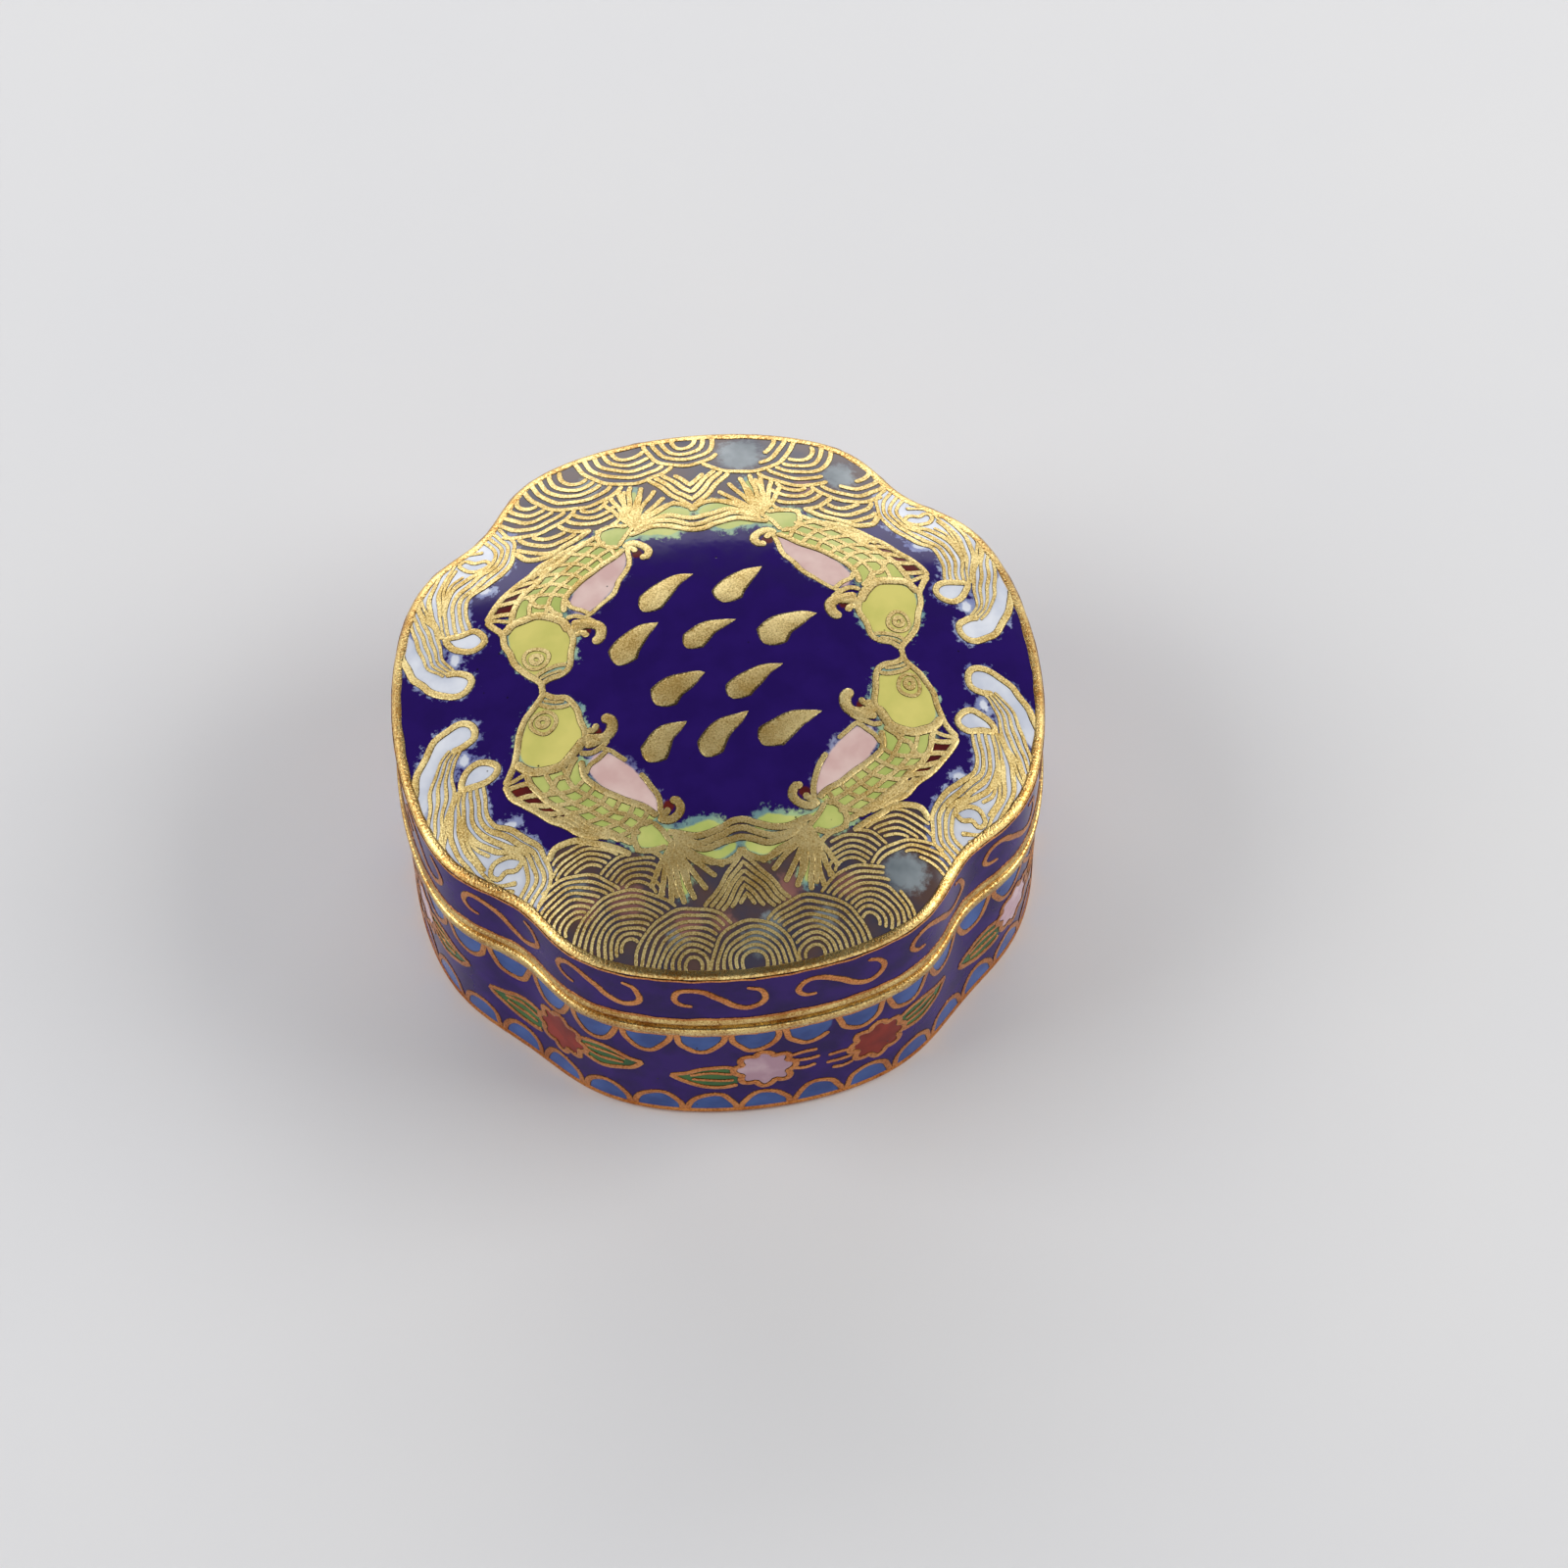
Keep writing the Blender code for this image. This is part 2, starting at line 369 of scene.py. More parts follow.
def distance_to(points, outlines):
    """For each flat point, the distance to the nearest outline, negative inside one. The distance to a side
    is that to the nearest point on it, and a point is inside if a ray from it crosses the sides an odd
    number of times."""
    nearest = np.full(len(points), FAR)
    for corners in outlines:
        near = np.all((points > corners.min(0) - REACH) & (points < corners.max(0) + REACH), axis=1)
        p, a = points[near, None], corners[None]
        b = np.roll(corners, -1, 0)[None]
        side = b - a
        where = np.clip(((p - a) * side).sum(-1) / np.maximum((side**2).sum(-1), 1e-12), 0, 1)
        away = np.linalg.norm(p - a - side * where[..., None], axis=-1).min(1)
        spans = (a[..., 1] > p[..., 1]) != (b[..., 1] > p[..., 1])
        rise = np.where(side[..., 1] == 0, 1e-12, side[..., 1])
        crossed = spans & (p[..., 0] < a[..., 0] + side[..., 0] * (p[..., 1] - a[..., 1]) / rise)
        signed = np.where(crossed.sum(1) % 2 == 1, -away, away)
        nearest[near] = np.minimum(nearest[near], signed)
    return nearest


# %% [markdown]
# ## The carp
#
# One carp is drawn for the back right quarter of the lid, and mirror images fill the other three. Its wires
# follow the order a maker bends them in: cheeks and lips, gill, the net of scales between back and belly,
# the fins, and the tail. The net is worked out: lines a share of the way from belly to back, crossed by
# bars that bow towards the tail.


# %% Draw one carp
def wire(points, width=0.42, closed=False, **options):
    """A wire through chosen points."""
    return dict(run=smooth(points, closed), width=width, closed=closed, **options)


def between(near, far, share):
    """The path that lies a share of the way from one path to another."""
    return near + (far - near) * share


def evenly(points, count=48):
    """A smooth path through the points, as so many even steps."""
    run = smooth(points)
    return points_at(np.linspace(0, len(run) - 1, count), np.arange(len(run)), run)


BELLY_LINE = evenly([(11.0, 6.8), (10.8, 8.2), (9.9, 9.3), (8.5, 10.3), (7.0, 11.3), (5.8, 12.2)])
BACK_LINE = evenly(
    [(15.1, 7.1), (14.7, 8.3), (13.9, 9.4), (12.7, 10.5), (11.3, 11.7), (9.7, 12.9), (7.9, 14.0)]
)
FIN_LINE = evenly(
    [(17.0, 7.5), (16.4, 8.6), (15.5, 9.6), (14.4, 10.5), (13.2, 11.4), (12.0, 12.3), (10.3, 13.1)]
)
HEAD_CELL = (
    [(13.5, 1.3), (14.6, 2.5), (15.3, 4.2), (15.4, 5.6), (14.7, 6.4), (13.4, 6.7), (12.1, 6.4), (11.1, 5.4)]
    + [(10.7, 4.2), (10.9, 2.8), (11.5, 1.9), (12.5, 1.8)]
)
BELLY_CELL = (
    [(10.5, 7.4), (10.0, 8.6), (8.9, 9.8), (7.5, 10.8), (6.2, 11.6), (5.7, 11.9), (5.8, 11.0), (6.2, 9.9)]
    + [(6.9, 8.7), (7.8, 7.6), (8.8, 6.7), (9.8, 6.5)]
)
SCALE_CELL = np.vstack([BELLY_LINE, BACK_LINE[::-1]])
fin_foot, fin_top = (between(BACK_LINE, FIN_LINE, share)[2:25] for share in (0.1, 0.9))
RUST_CELL = np.vstack([fin_foot, fin_top[::-1]])
TAIL_CELL = (
    [(7.6, 14.3), (5.9, 14.9), (5.3, 16.2), (4.8, 18.4), (4.3, 18.3), (4.5, 16.4), (4.9, 14.7), (5.7, 13.6)]
    + [(6.4, 12.7), (7.2, 13.3)]
)
LEAF_CELL = [(3.9, 15.0), (3.0, 15.8), (1.6, 16.2), (0.4, 15.6), (0.5, 15.0), (1.6, 15.5), (2.8, 15.4)]
EDGE_CELL = (
    [(6.1, 13.0), (4.9, 13.5), (3.4, 13.4), (2.2, 13.1), (1.3, 13.6), (1.2, 14.2), (2.4, 14.4), (3.8, 14.3)]
    + [(5.4, 13.9)]
)
HEAD_CELL, BELLY_CELL, TAIL_CELL, LEAF_CELL, EDGE_CELL = (
    smooth(cell, closed=True) for cell in (HEAD_CELL, BELLY_CELL, TAIL_CELL, LEAF_CELL, EDGE_CELL)
)
FAN_ROOT = np.array([4.9, 14.4])
FAN_TIPS = [(7.0, 17.6), (6.4, 18.5), (5.6, 19.1), (4.7, 19.3), (3.8, 19.0), (2.9, 18.4), (2.1, 17.5)]
FAN_TIPS = np.array(FAN_TIPS + [(1.3, 16.8)])
OUTER_CHEEK = [(13.35, -0.1), (13.4, 0.5), (14.15, 1.4), (15.1, 2.75), (15.65, 4.3), (15.85, 5.8)]
INNER_CHEEK = [(13.3, 0.4), (12.6, 0.85), (11.7, 1.05), (11.15, 1.6), (10.8, 2.8), (10.55, 4.0), (10.7, 5.0)]
GILL_FRILL = [(15.2, 6.9), (14.9, 8.0), (14.2, 8.9), (13.5, 8.9), (13.0, 8.0), (12.3, 7.8), (11.9, 7.2)]

carp = [
    wire(OUTER_CHEEK + [(16.4, 6.7), (17.0, 7.5)], 0.5),
    wire(INNER_CHEEK + [(11.1, 5.8)], 0.46),
    wire([(13.75, 1.15), (13.0, 1.65), (12.2, 1.85), (11.3, 1.8)], 0.36),
    wire([(13.4, 0.95), (12.6, 1.3), (11.7, 1.4)], 0.26),
    wire([(15.8, 5.9), (15.0, 6.7), (13.5, 7.05), (12.2, 6.75), (11.3, 6.0), (10.7, 4.9)], 0.7),
    wire(GILL_FRILL + [(11.2, 6.5)], 0.4),
    dict(run=arc((13.5, 2.95), (0.9, 0.96), 0, 360, 0.15), width=0.3, closed=True),
    dict(run=arc((13.5, 2.9), (0.36, 0.38), 0, 360, 0.1), width=0.4, closed=True),
]
carp += [
    dict(run=between(BELLY_LINE, BACK_LINE, share), width=0.48 if share in (0, 1) else 0.34)
    for share in (0, 0.35, 0.68, 1)
]
for step in range(6):
    bow = np.linspace(0, 1, 16)
    place = 9 + 6.5 * step + 3.0 * np.sin(np.pi * bow)
    near, far = (points_at(place, np.arange(len(line)), line) for line in (BELLY_LINE, BACK_LINE))
    carp.append(dict(run=between(near, far, bow[:, None]), width=0.34))
for step in range(5):
    ray = np.array([BACK_LINE[3 + 6 * step], FIN_LINE[2 + 6 * step]])
    carp.append(dict(run=resample(ray), width=0.4))
carp += [dict(run=between(BACK_LINE, FIN_LINE, share)[24:], width=0.46) for share in (0.33, 0.67)]
carp += [
    dict(run=FIN_LINE, width=0.5),
    wire([(15.2, 6.9), (16.1, 7.3), (16.9, 7.5)], 0.34),
    wire([(5.5, 12.2), (5.6, 11.0), (6.0, 9.8), (6.7, 8.6)], 0.4),
    wire([(7.6, 7.5), (8.7, 6.4), (9.8, 6.0)], 0.34),
    wire([(8.9, 6.2), (9.7, 6.8), (10.4, 7.2), (10.7, 7.9)], 0.36),
    wire([(11.0, 6.2), (10.2, 6.3), (9.3, 5.9), (8.7, 5.3)], 0.42),
    wire([(10.7, 4.8), (9.9, 5.2), (9.0, 5.2), (8.4, 4.6), (8.5, 3.9), (9.1, 3.4)], 0.8),
    wire([(10.6, 5.6), (9.6, 5.5), (8.9, 5.0)], 0.6),
    wire([(10.4, 4.3), (9.9, 4.5), (9.5, 4.0)], 0.5),
    wire([(5.8, 12.3), (5.1, 12.7), (4.4, 12.4), (4.0, 11.8), (4.2, 11.2), (4.7, 11.2)], 0.62),
    wire([(5.7, 12.1), (5.1, 12.1), (4.9, 11.7)], 0.5),
    wire([(6.2, 12.5), (7.3, 12.9), (7.8, 13.8), (7.5, 14.6), (6.5, 14.9), (5.4, 14.7)], 0.42),
]

# %% [markdown]
# ## The tails
#
# The four tails meet in pairs at the middle of the back and the front. Each spreads into a fan of rays and a
# long leaf-shaped lobe, and together they make the gilded edge of the dark field.

# %% Draw the tails
carp += [
    wire([(7.9, 14.5), (6.3, 15.1), (5.6, 16.2), (5.1, 18.8)], 0.36),
    wire([(6.2, 12.6), (5.4, 13.9), (4.6, 15.2), (4.2, 16.8), (4.0, 18.6)], 0.36),
    wire([(4.8, 14.4), (3.7, 15.5), (2.5, 16.3), (1.2, 16.5), (0.0, 15.8), (-0.3, 15.6)], 0.46),
    wire([(4.6, 14.2), (3.3, 15.0), (2.2, 15.3), (1.1, 14.95), (0.0, 14.8), (-0.3, 14.8)], 0.5),
    wire([(5.3, 13.7), (3.9, 14.1), (2.5, 14.2), (1.4, 13.8), (0.6, 13.45), (-0.3, 13.4)], 0.5),
    wire([(4.9, 14.1), (3.7, 14.6), (2.5, 14.8), (1.3, 14.4), (0.6, 14.1), (-0.3, 14.05)], 0.5),
]
carp += [wire([FAN_ROOT, between(FAN_ROOT, tip, 0.5) + 0.1, tip], 0.4) for tip in FAN_TIPS]
belly_edge = [wire([(6.5, 8.8), (7.1, 7.95), (7.8, 7.3)], 0.4)]  # it shows only on the two carp at the back
print("wires in one carp:", len(carp))

# %% [markdown]
# ## Foam
#
# Foam curls in from the rim in each quarter, in three bundles of lines spaced evenly between an inner and an
# outer edge. A thicker wire hooks round each of the two white tips, and white glass shows in the gaps.

# %% Draw the foam
BORDER = 0.74  # how far in from the wall the gilded rim reaches on the dome
UNDER_RIM = 0.28  # how far the wires run on under it


def rim_distance(points):
    """How far plan points lie inside the wall, along the line to the middle."""
    wall_angle, angle = (np.arctan2(spots[:, 1], spots[:, 0]) % TURN for spots in (WALL[:-1], points))
    reach = np.interp(angle, wall_angle, np.linalg.norm(WALL[:-1], axis=1), period=TURN)
    return reach - np.linalg.norm(points, axis=1)


def inside_rim(wires):
    """The wires without the points that the gilded rim covers."""
    cut = []
    for each in wires:
        keep = rim_distance(each["run"]) > BORDER - UNDER_RIM
        if not keep.all():
            each = dict(each, run=each["run"][keep], width=np.broadcast_to(each["width"], len(keep))[keep])
        cut.append(each)
    return cut


SCROLLS_OF_FOAM = (
    (
        [(15.4, 17.4), (14.3, 15.7), (14.4, 13.9), (15.2, 12.4), (16.6, 11.3), (18.0, 10.5), (18.5, 9.2)]
        + [(18.4, 7.2)],
        [(17.0, 16.7), (16.0, 15.4), (16.0, 14.0), (16.8, 12.9), (18.2, 12.5), (19.5, 11.4), (20.2, 9.6)]
        + [(20.0, 6.9)],
        4,
    ),
    (
        [(16.7, 15.2), (18.4, 15.0), (19.5, 13.5), (20.4, 11.8), (20.6, 10.0), (20.5, 8.2), (20.3, 6.9)],
        [(17.4, 16.5), (19.6, 15.0), (21.3, 12.9), (22.1, 11.0), (21.6, 9.2), (21.1, 8.2), (20.7, 7.0)],
        3,
    ),
    (
        [(22.0, 11.6), (21.4, 9.4), (20.9, 7.6), (20.8, 5.8), (20.5, 4.5), (19.9, 3.6)],
        [(23.1, 11.2), (23.0, 9.6), (22.7, 7.8), (22.3, 5.9), (21.7, 4.4), (20.7, 3.3)],
        4,
    ),
)
INNER_TIP = [(20.3, 6.8), (19.3, 6.9), (18.2, 6.95), (17.5, 6.4), (17.4, 5.7), (18.0, 5.15), (18.8, 5.1)]
INNER_TIP += [(19.7, 5.7)]
OUTER_TIP = [(20.6, 3.5), (19.7, 3.4), (18.9, 2.9), (18.7, 2.1), (19.2, 1.4), (20.3, 1.4), (21.6, 2.1)]
OUTER_TIP += [(22.7, 3.4), (23.5, 5.1), (23.8, 6.9), (23.5, 8.6)]
CURL = [(16.3, 13.6), (17.2, 13.1), (18.2, 13.4), (18.7, 14.2), (18.1, 14.6), (17.5, 14.1), (16.7, 14.2)]
foam, FOAM_CELLS = [], []
for near, far, count in SCROLLS_OF_FOAM:
    near, far = evenly(near), evenly(far)
    FOAM_CELLS.append(np.vstack([near, far[::-1]]))
    width = np.clip(0.52 / (count - 1) * np.linalg.norm(far - near, axis=1), 0.22, 0.44)
    foam += [dict(run=between(near, far, share), width=width) for share in np.linspace(0, 1, count)]
foam += [wire([(19.0, 13.8), (19.7, 12.6), (20.15, 11.2), (20.35, 9.2)], 0.28)]
foam += [wire([(18.5, 12.9), (19.4, 12.2), (19.95, 10.9), (20.25, 9.0)], 0.28)]
foam += [wire(INNER_TIP, 0.52, closed=True), wire(OUTER_TIP, 0.54), wire(CURL, 0.36, closed=True)]
foam += [wire([(8.2, 14.9), (10.2, 13.7), (12.0, 13.0), (13.4, 13.2), (14.2, 14.2)], 0.5)]
foam = inside_rim(foam)
FOAM_CELLS.append(np.vstack([evenly(SCROLLS_OF_FOAM[0][0]), evenly(SCROLLS_OF_FOAM[1][1])[::-1]]))
tips = (INNER_TIP, CURL, OUTER_TIP + [(22.7, 7.4), (22.1, 5.3)])
FOAM_CELLS += [smooth(tip, closed=True) for tip in tips]
FOAM_CELLS += [arc((19.75, 4.6), (0.4, 0.6), 0, 350), arc((16.9, 10.75), (0.6, 0.35), 0, 350)]

# %% [markdown]
# ## Waves
#
# The old way to draw a sea is a bank of overlapping ripples, each a set of concentric arcs. The ripples
# nearest the rim lie on top. So every ripple's arcs are sampled, the points that fall under a ripple drawn
# before it are dropped, and what is left is cut into runs, each a wire.

# %% Draw the waves
WAVE_ZONE = [(-3, 13.2), (5.4, 13.4), (8.0, 14.8), (10.2, 13.6), (12.0, 12.9), (13.5, 13.2), (14.1, 14.1)]
WAVE_ZONE = np.array(WAVE_ZONE + [(14.2, 15.6), (15.6, 17.0), (16.6, 17.8), (20, 27), (-3, 27)], float)
TAIL_ZONE = [(-1, 13), (-1, 16.2), (1.2, 16.6), (2.2, 17.2), (3.2, 18.2), (4.4, 19.2), (5.9, 18.8)]
TAIL_ZONE = np.array(TAIL_ZONE + [(6.4, 15.2), (8, 14.6), (8, 13)], float)
RIPPLES = [(0.0, 24.2, 3.2), (4.5, 23.9, 4.3), (8.9, 21.9, 4.3), (12.6, 19.8, 4.1)]  # centre and reach
RIPPLES += [(7.9, 18.4, 3.6), (11.4, 17.0, 3.6), (14.6, 17.2, 3.9)]
WORN_PATCHES = [(12.0, -18.2, 1.5), (4.3, 21.8, 1.8), (11.9, 18.7, 1.3)]  # where the wires have gone
SHORTEST = 8  # a run with no more points than this is a scrap, and is dropped
CLEARANCE = 0.15  # between the end of an arc and the ripple that it runs under


def seen_runs(run, keep, width):
    """What is left of a path as wires, one for each unbroken stretch of points to keep."""
    cuts = np.flatnonzero(np.diff(keep.astype(int))) + 1
    stretches = zip(np.split(run, cuts), np.split(keep, cuts))
    seen = [stretch for stretch, kept in stretches if kept[0] and len(stretch) > SHORTEST]
    return [dict(run=resample(stretch), width=width) for stretch in seen]


def clear_of(run, ripples):
    """Which points lie outside every one of the ripples."""
    outside = [np.hypot(*(run - (x, y)).T) > reach + CLEARANCE for x, y, reach in ripples]
    return np.all(outside, axis=0)


def ripple_wires(width, step):
    """Arcs a step apart round each ripple's centre, kept where they lie in the sea and under no earlier
    ripple."""
    wires = []
    for order, (x, y, reach) in enumerate(RIPPLES):
        for radius in np.arange(reach, 0.5, -step):
            run = arc((x, y), radius, -200, 20, 0.12)
            keep = (rim_distance(run) > BORDER - UNDER_RIM - 0.02) & (run[:, 0] >= -0.3)
            keep &= (distance_to(run, [WAVE_ZONE]) < -0.05) & (distance_to(run, [TAIL_ZONE]) > 0)
            if order:
                keep &= clear_of(run, RIPPLES[:order])
            wires += seen_runs(run, keep, width)
    return wires


def chevron_wires(width, step):
    """A nest of chevrons a step apart where the two halves of the sea meet. A chevron's arms rise by 1.2 for
    each step out, and stop under the ripples or where the nest ends."""
    wires = []
    out = np.linspace(-3.6, 3.6, 121)
    for tip in np.arange(15.9, 20.6, step):
        run = np.stack([out, tip + 1.2 * np.abs(out)], -1)
        nest = run[:, 1] < 19.6 + 0.3 * np.abs(out)
        wires += seen_runs(run, clear_of(np.abs(run), RIPPLES) & nest, width)
    return wires


def worn_through(wires):
    """The wires without what lies in a worn patch."""
    kept = []
    for each in wires:
        whole = np.all([np.hypot(*(each["run"] - (x, y)).T) > size for x, y, size in WORN_PATCHES], axis=0)
        kept += [each] if whole.all() else seen_runs(each["run"], whole, each["width"])
    return kept


back_sea = mirrored(ripple_wires(0.4, 0.76), front_back=False) + chevron_wires(0.42, 0.88)
front_sea = mirrored(ripple_wires(0.24, 0.45), front_back=False) + chevron_wires(0.3, 0.62)
front_sea = [dict(each, run=each["run"] * (1, -1)) for each in front_sea]
back_sea, front_sea = worn_through(back_sea), worn_through(front_sea)
print("wires in the sea:", len(back_sea) + len(front_sea))

# %% [markdown]
# ## Brush dabs in the dark field
#
# The middle of the lid carries gold laid on with a full brush. Here it is rows of slanting dabs, set like
# bricks: a heavy head that thins to a tail. They are cut from the same ribbon as the wires, with a width
# that changes along the way.


# %% Draw the dabs
def dab(centre, length, tilt, bend, width):
    """One dab: a bent line whose width grows with the root of the share up to its head, and then shrinks
    with one less a power of the share, down to a point."""
    share = np.linspace(0, 1, 40)
    x = (share - 0.5) * length
    y = bend * (1 - (2 * share - 1) ** 2)
    turn = np.radians(tilt)
    across, up = x * np.cos(turn) - y * np.sin(turn), x * np.sin(turn) + y * np.cos(turn)
    run = np.stack([centre[0] + across, centre[1] + up], -1)
    swelling = np.sqrt(np.clip(share / 0.18, 0.01, 1)) * np.clip(1 - share**1.9, 0.01, 1) ** 0.8
    return dict(run=run, width=width * swelling, blunt=True)


DAB_ROWS = [(7.2, (-2.9, 2.6)), (2.6, (-5.7, -0.2, 5.3)), (-2.0, (-2.9, 2.6)), (-6.4, (-4.4, 0.0, 4.5))]
dabs = []
for row, (height, places) in enumerate(DAB_ROWS):
    for spot, place in enumerate(places):
        lean = 38 + 9 * np.sin(2.3 * row + 1.7 * spot)
        length, width = 4.7 + 0.4 * np.cos(row + 2 * spot), 2.0 + 0.25 * np.sin(3 * spot + row)
        dabs.append(dab((place, height), length, lean, 0.5, width))
print("wires on the lid's picture:", 4 * len(carp + foam) + len(back_sea + front_sea) + len(dabs))

# %% [markdown]
# ## Ornament round the side
#
# The side is laid out flat, as a strip as long as the wall. The lid's half has one soft S, repeated. The
# bowl's has a row of scallops hanging from the mouth and one rising from the foot, and between them red and
# pink flowers with a leaf on either side. Two flowers stand close together at the front, with only short
# sprigs between them, because the maker's spacing came out uneven. One scallop was left open.

# %% Draw the scrolls and the scallops
SCROLL_COUNT, SCALLOP_COUNT = 17, 38
SCROLL_PITCH, SCALLOP_PITCH = GIRTH / SCROLL_COUNT, GIRTH / SCALLOP_COUNT
SCROLL = smooth(
    [(-2.0, -1.0), (-2.9, -0.7), (-3.4, 0.2), (-3.0, 1.1), (-2.0, 1.4), (-1.0, 1.05), (0, 0.1), (1.1, -1.0)]
    + [(2.2, -1.45), (3.1, -1.0), (3.45, 0.1), (3.0, 1.1), (2.1, 1.6)],
    step=0.2,
)
SCROLL_WIDTH = 0.36 + 0.26 * np.sin(np.pi * np.linspace(0, 1, len(SCROLL)))
scrolls = [dict(run=SCROLL + (6.5 + SCROLL_PITCH * k, 18.1), width=SCROLL_WIDTH) for k in range(SCROLL_COUNT)]
BLUE_CELLS = []
scallops = []
for k in range(SCALLOP_COUNT):
    hanging = arc((SCALLOP_PITCH * k - 0.2, 12.95), (1.86, 3.1), 180, 360)
    rising = arc((SCALLOP_PITCH * k + 0.5, 0.6), (1.86, 2.5), 0, 180)
    BLUE_CELLS += [hanging, rising]
    scallops += [dict(run=hanging[:-9] if k == 1 else hanging, width=0.5), dict(run=rising, width=0.5)]

# %% Draw the flowers and the leaves
FLOWER_COUNT, FIRST_FLOWER, FLOWER_STEP, FLOWER_HEIGHT = 10, 9.6, 16.61, 6.7
LAST = FLOWER_COUNT - 1
LEAF_EDGES = [
    [(2.1, 1.2), (3.3, 1.75), (4.8, 1.45), (6.0, 0.9), (7.3, 0.5)],
    [(2.2, -1.1), (3.6, -1.5), (5.2, -1.15), (6.5, -0.4), (7.3, 0.5)],
]
LEAF_VEINS = [[(2.5, 0.5), (4.1, 0.75), (5.8, 0.55)], [(2.5, -0.3), (4.1, -0.35), (5.7, -0.05)]]
SPRIGS = [
    [(2.0, 1.0), (3.0, 1.35), (4.1, 1.2)],
    [(2.2, 0.1), (3.2, 0.0), (4.3, 0.1)],
    [(2.0, -0.9), (3.0, -1.2), (3.9, -0.9)],
]


def petals(centre):
    """A flower's outline: a circle whose radius grows with the size of the cosine of four times the angle,
    which gives eight round petals with sharp clefts, a little taller than it is wide."""
    angle = np.linspace(0, TURN, 120, endpoint=False)
    away = 1.9 + 0.55 * np.abs(np.cos(4 * angle))
    return np.stack([centre + away * np.cos(angle), FLOWER_HEIGHT + 1.1 * away * np.sin(angle)], -1)


RED_CELLS, PINK_CELLS, LEAF_CELLS, garden = [], [], [], []
for k in range(FLOWER_COUNT):
    centre = FIRST_FLOWER + FLOWER_STEP * k
    (PINK_CELLS if k % 2 else RED_CELLS).append(petals(centre))
    garden.append(dict(run=petals(centre), width=0.52, closed=True))
    for side in (-1, 1):
        place, shape = np.array([centre, FLOWER_HEIGHT + 0.7 * side - 0.3]), np.array([side, 1.0])
        if (k, side) in ((LAST, 1), (0, -1)):
            garden += [wire(place + np.array(sprig) * shape, 0.42) for sprig in SPRIGS]
            continue
        garden += [wire(place + np.array(line) * shape, 0.5) for line in LEAF_EDGES]
        garden += [wire(place + np.array(line) * shape, 0.34) for line in LEAF_VEINS]
        LEAF_CELLS.append(place + np.vstack([smooth(LEAF_EDGES[0]), smooth(LEAF_EDGES[1])[::-1]]) * shape)
COPPER_LINES = (  # each edge of the gilding is worn to copper: a line's group, height and width
    (scrolls, RIM_HEIGHT - 0.5, 0.24),
    (scrolls, LID_FOOT + LID_BAND + 0.08, 0.32),
    (scallops, BOWL_HEIGHT - MOUTH_BAND - 0.14, 0.42),
)
lap = np.linspace(0, GIRTH, 480)
for group, height, width in COPPER_LINES:
    group.append(dict(run=np.stack([lap, np.full(len(lap), height)], -1), width=width))
print("wires on the side:", len(scrolls) + len(scallops) + len(garden))

# %% [markdown]
# ## Enamel
#
# Vitreous enamel is coloured glass, fired and then ground flat, so it is glossy but not flawless: it has a
# faint orange peel, cloudy colour, and a few pinholes where bubbles broke. Where the maker wiped a cell
# carelessly, the next colour shows a pale ragged edge. One function makes every enamel here: a cloudy ground,
# then layers, each where an attribute's distance is under a reach, with noise added to tear the edge.


# %% Colours, scales and nodes
def linear(code):
    """An sRGB hex colour as linear numbers: below 0.04045 a twelfth or so, else a power of 2.4."""
    value = np.array([int(code[k : k + 2], 16) for k in (1, 3, 5)]) / 255
    value = np.where(value <= 0.04045, value / 12.92, ((value + 0.055) / 1.055) ** 2.4)
    return (*value.tolist(), 1.0)


def every(millimetres):
    """The scale that gives a pattern one feature per so many millimetres, on coordinates in metres."""
    return 1 / (millimetres * MM)


def add_node(material, kind, output, inputs=(), **settings):
    """One node with its settings, and of it the output that is wanted. An input is set to a value, or linked
    if it is given a socket. A Mix of colours takes its share at 0 and its colours at 6 and 7."""
    node = material.node_tree.nodes.new("ShaderNode" + kind)
    for name, value in settings.items():
        setattr(node, name, value)
    for key, value in dict(inputs).items():
        if isinstance(value, bpy.types.NodeSocket):
            material.node_tree.links.new(value, node.inputs[key])
        else:
            node.inputs[key].default_value = value
    return node.outputs[output]


def new_material(name, **values):
    """A material, its shader with values set on it, and the coordinates that its patterns read."""
    material = bpy.data.materials.new(name)
    material.use_nodes = True
    shader = material.node_tree.nodes["Principled BSDF"]
    for key, value in values.items():
        shader.inputs[key.replace("_", " ")].default_value = value
    return material, shader, add_node(material, "TexCoord", "Object")


def give_shader(material, shader, **sockets):
    """Link a pattern's sockets to the shader's inputs."""
    for key, socket in sockets.items():
        material.node_tree.links.new(socket, shader.inputs[key.replace("_", " ")])


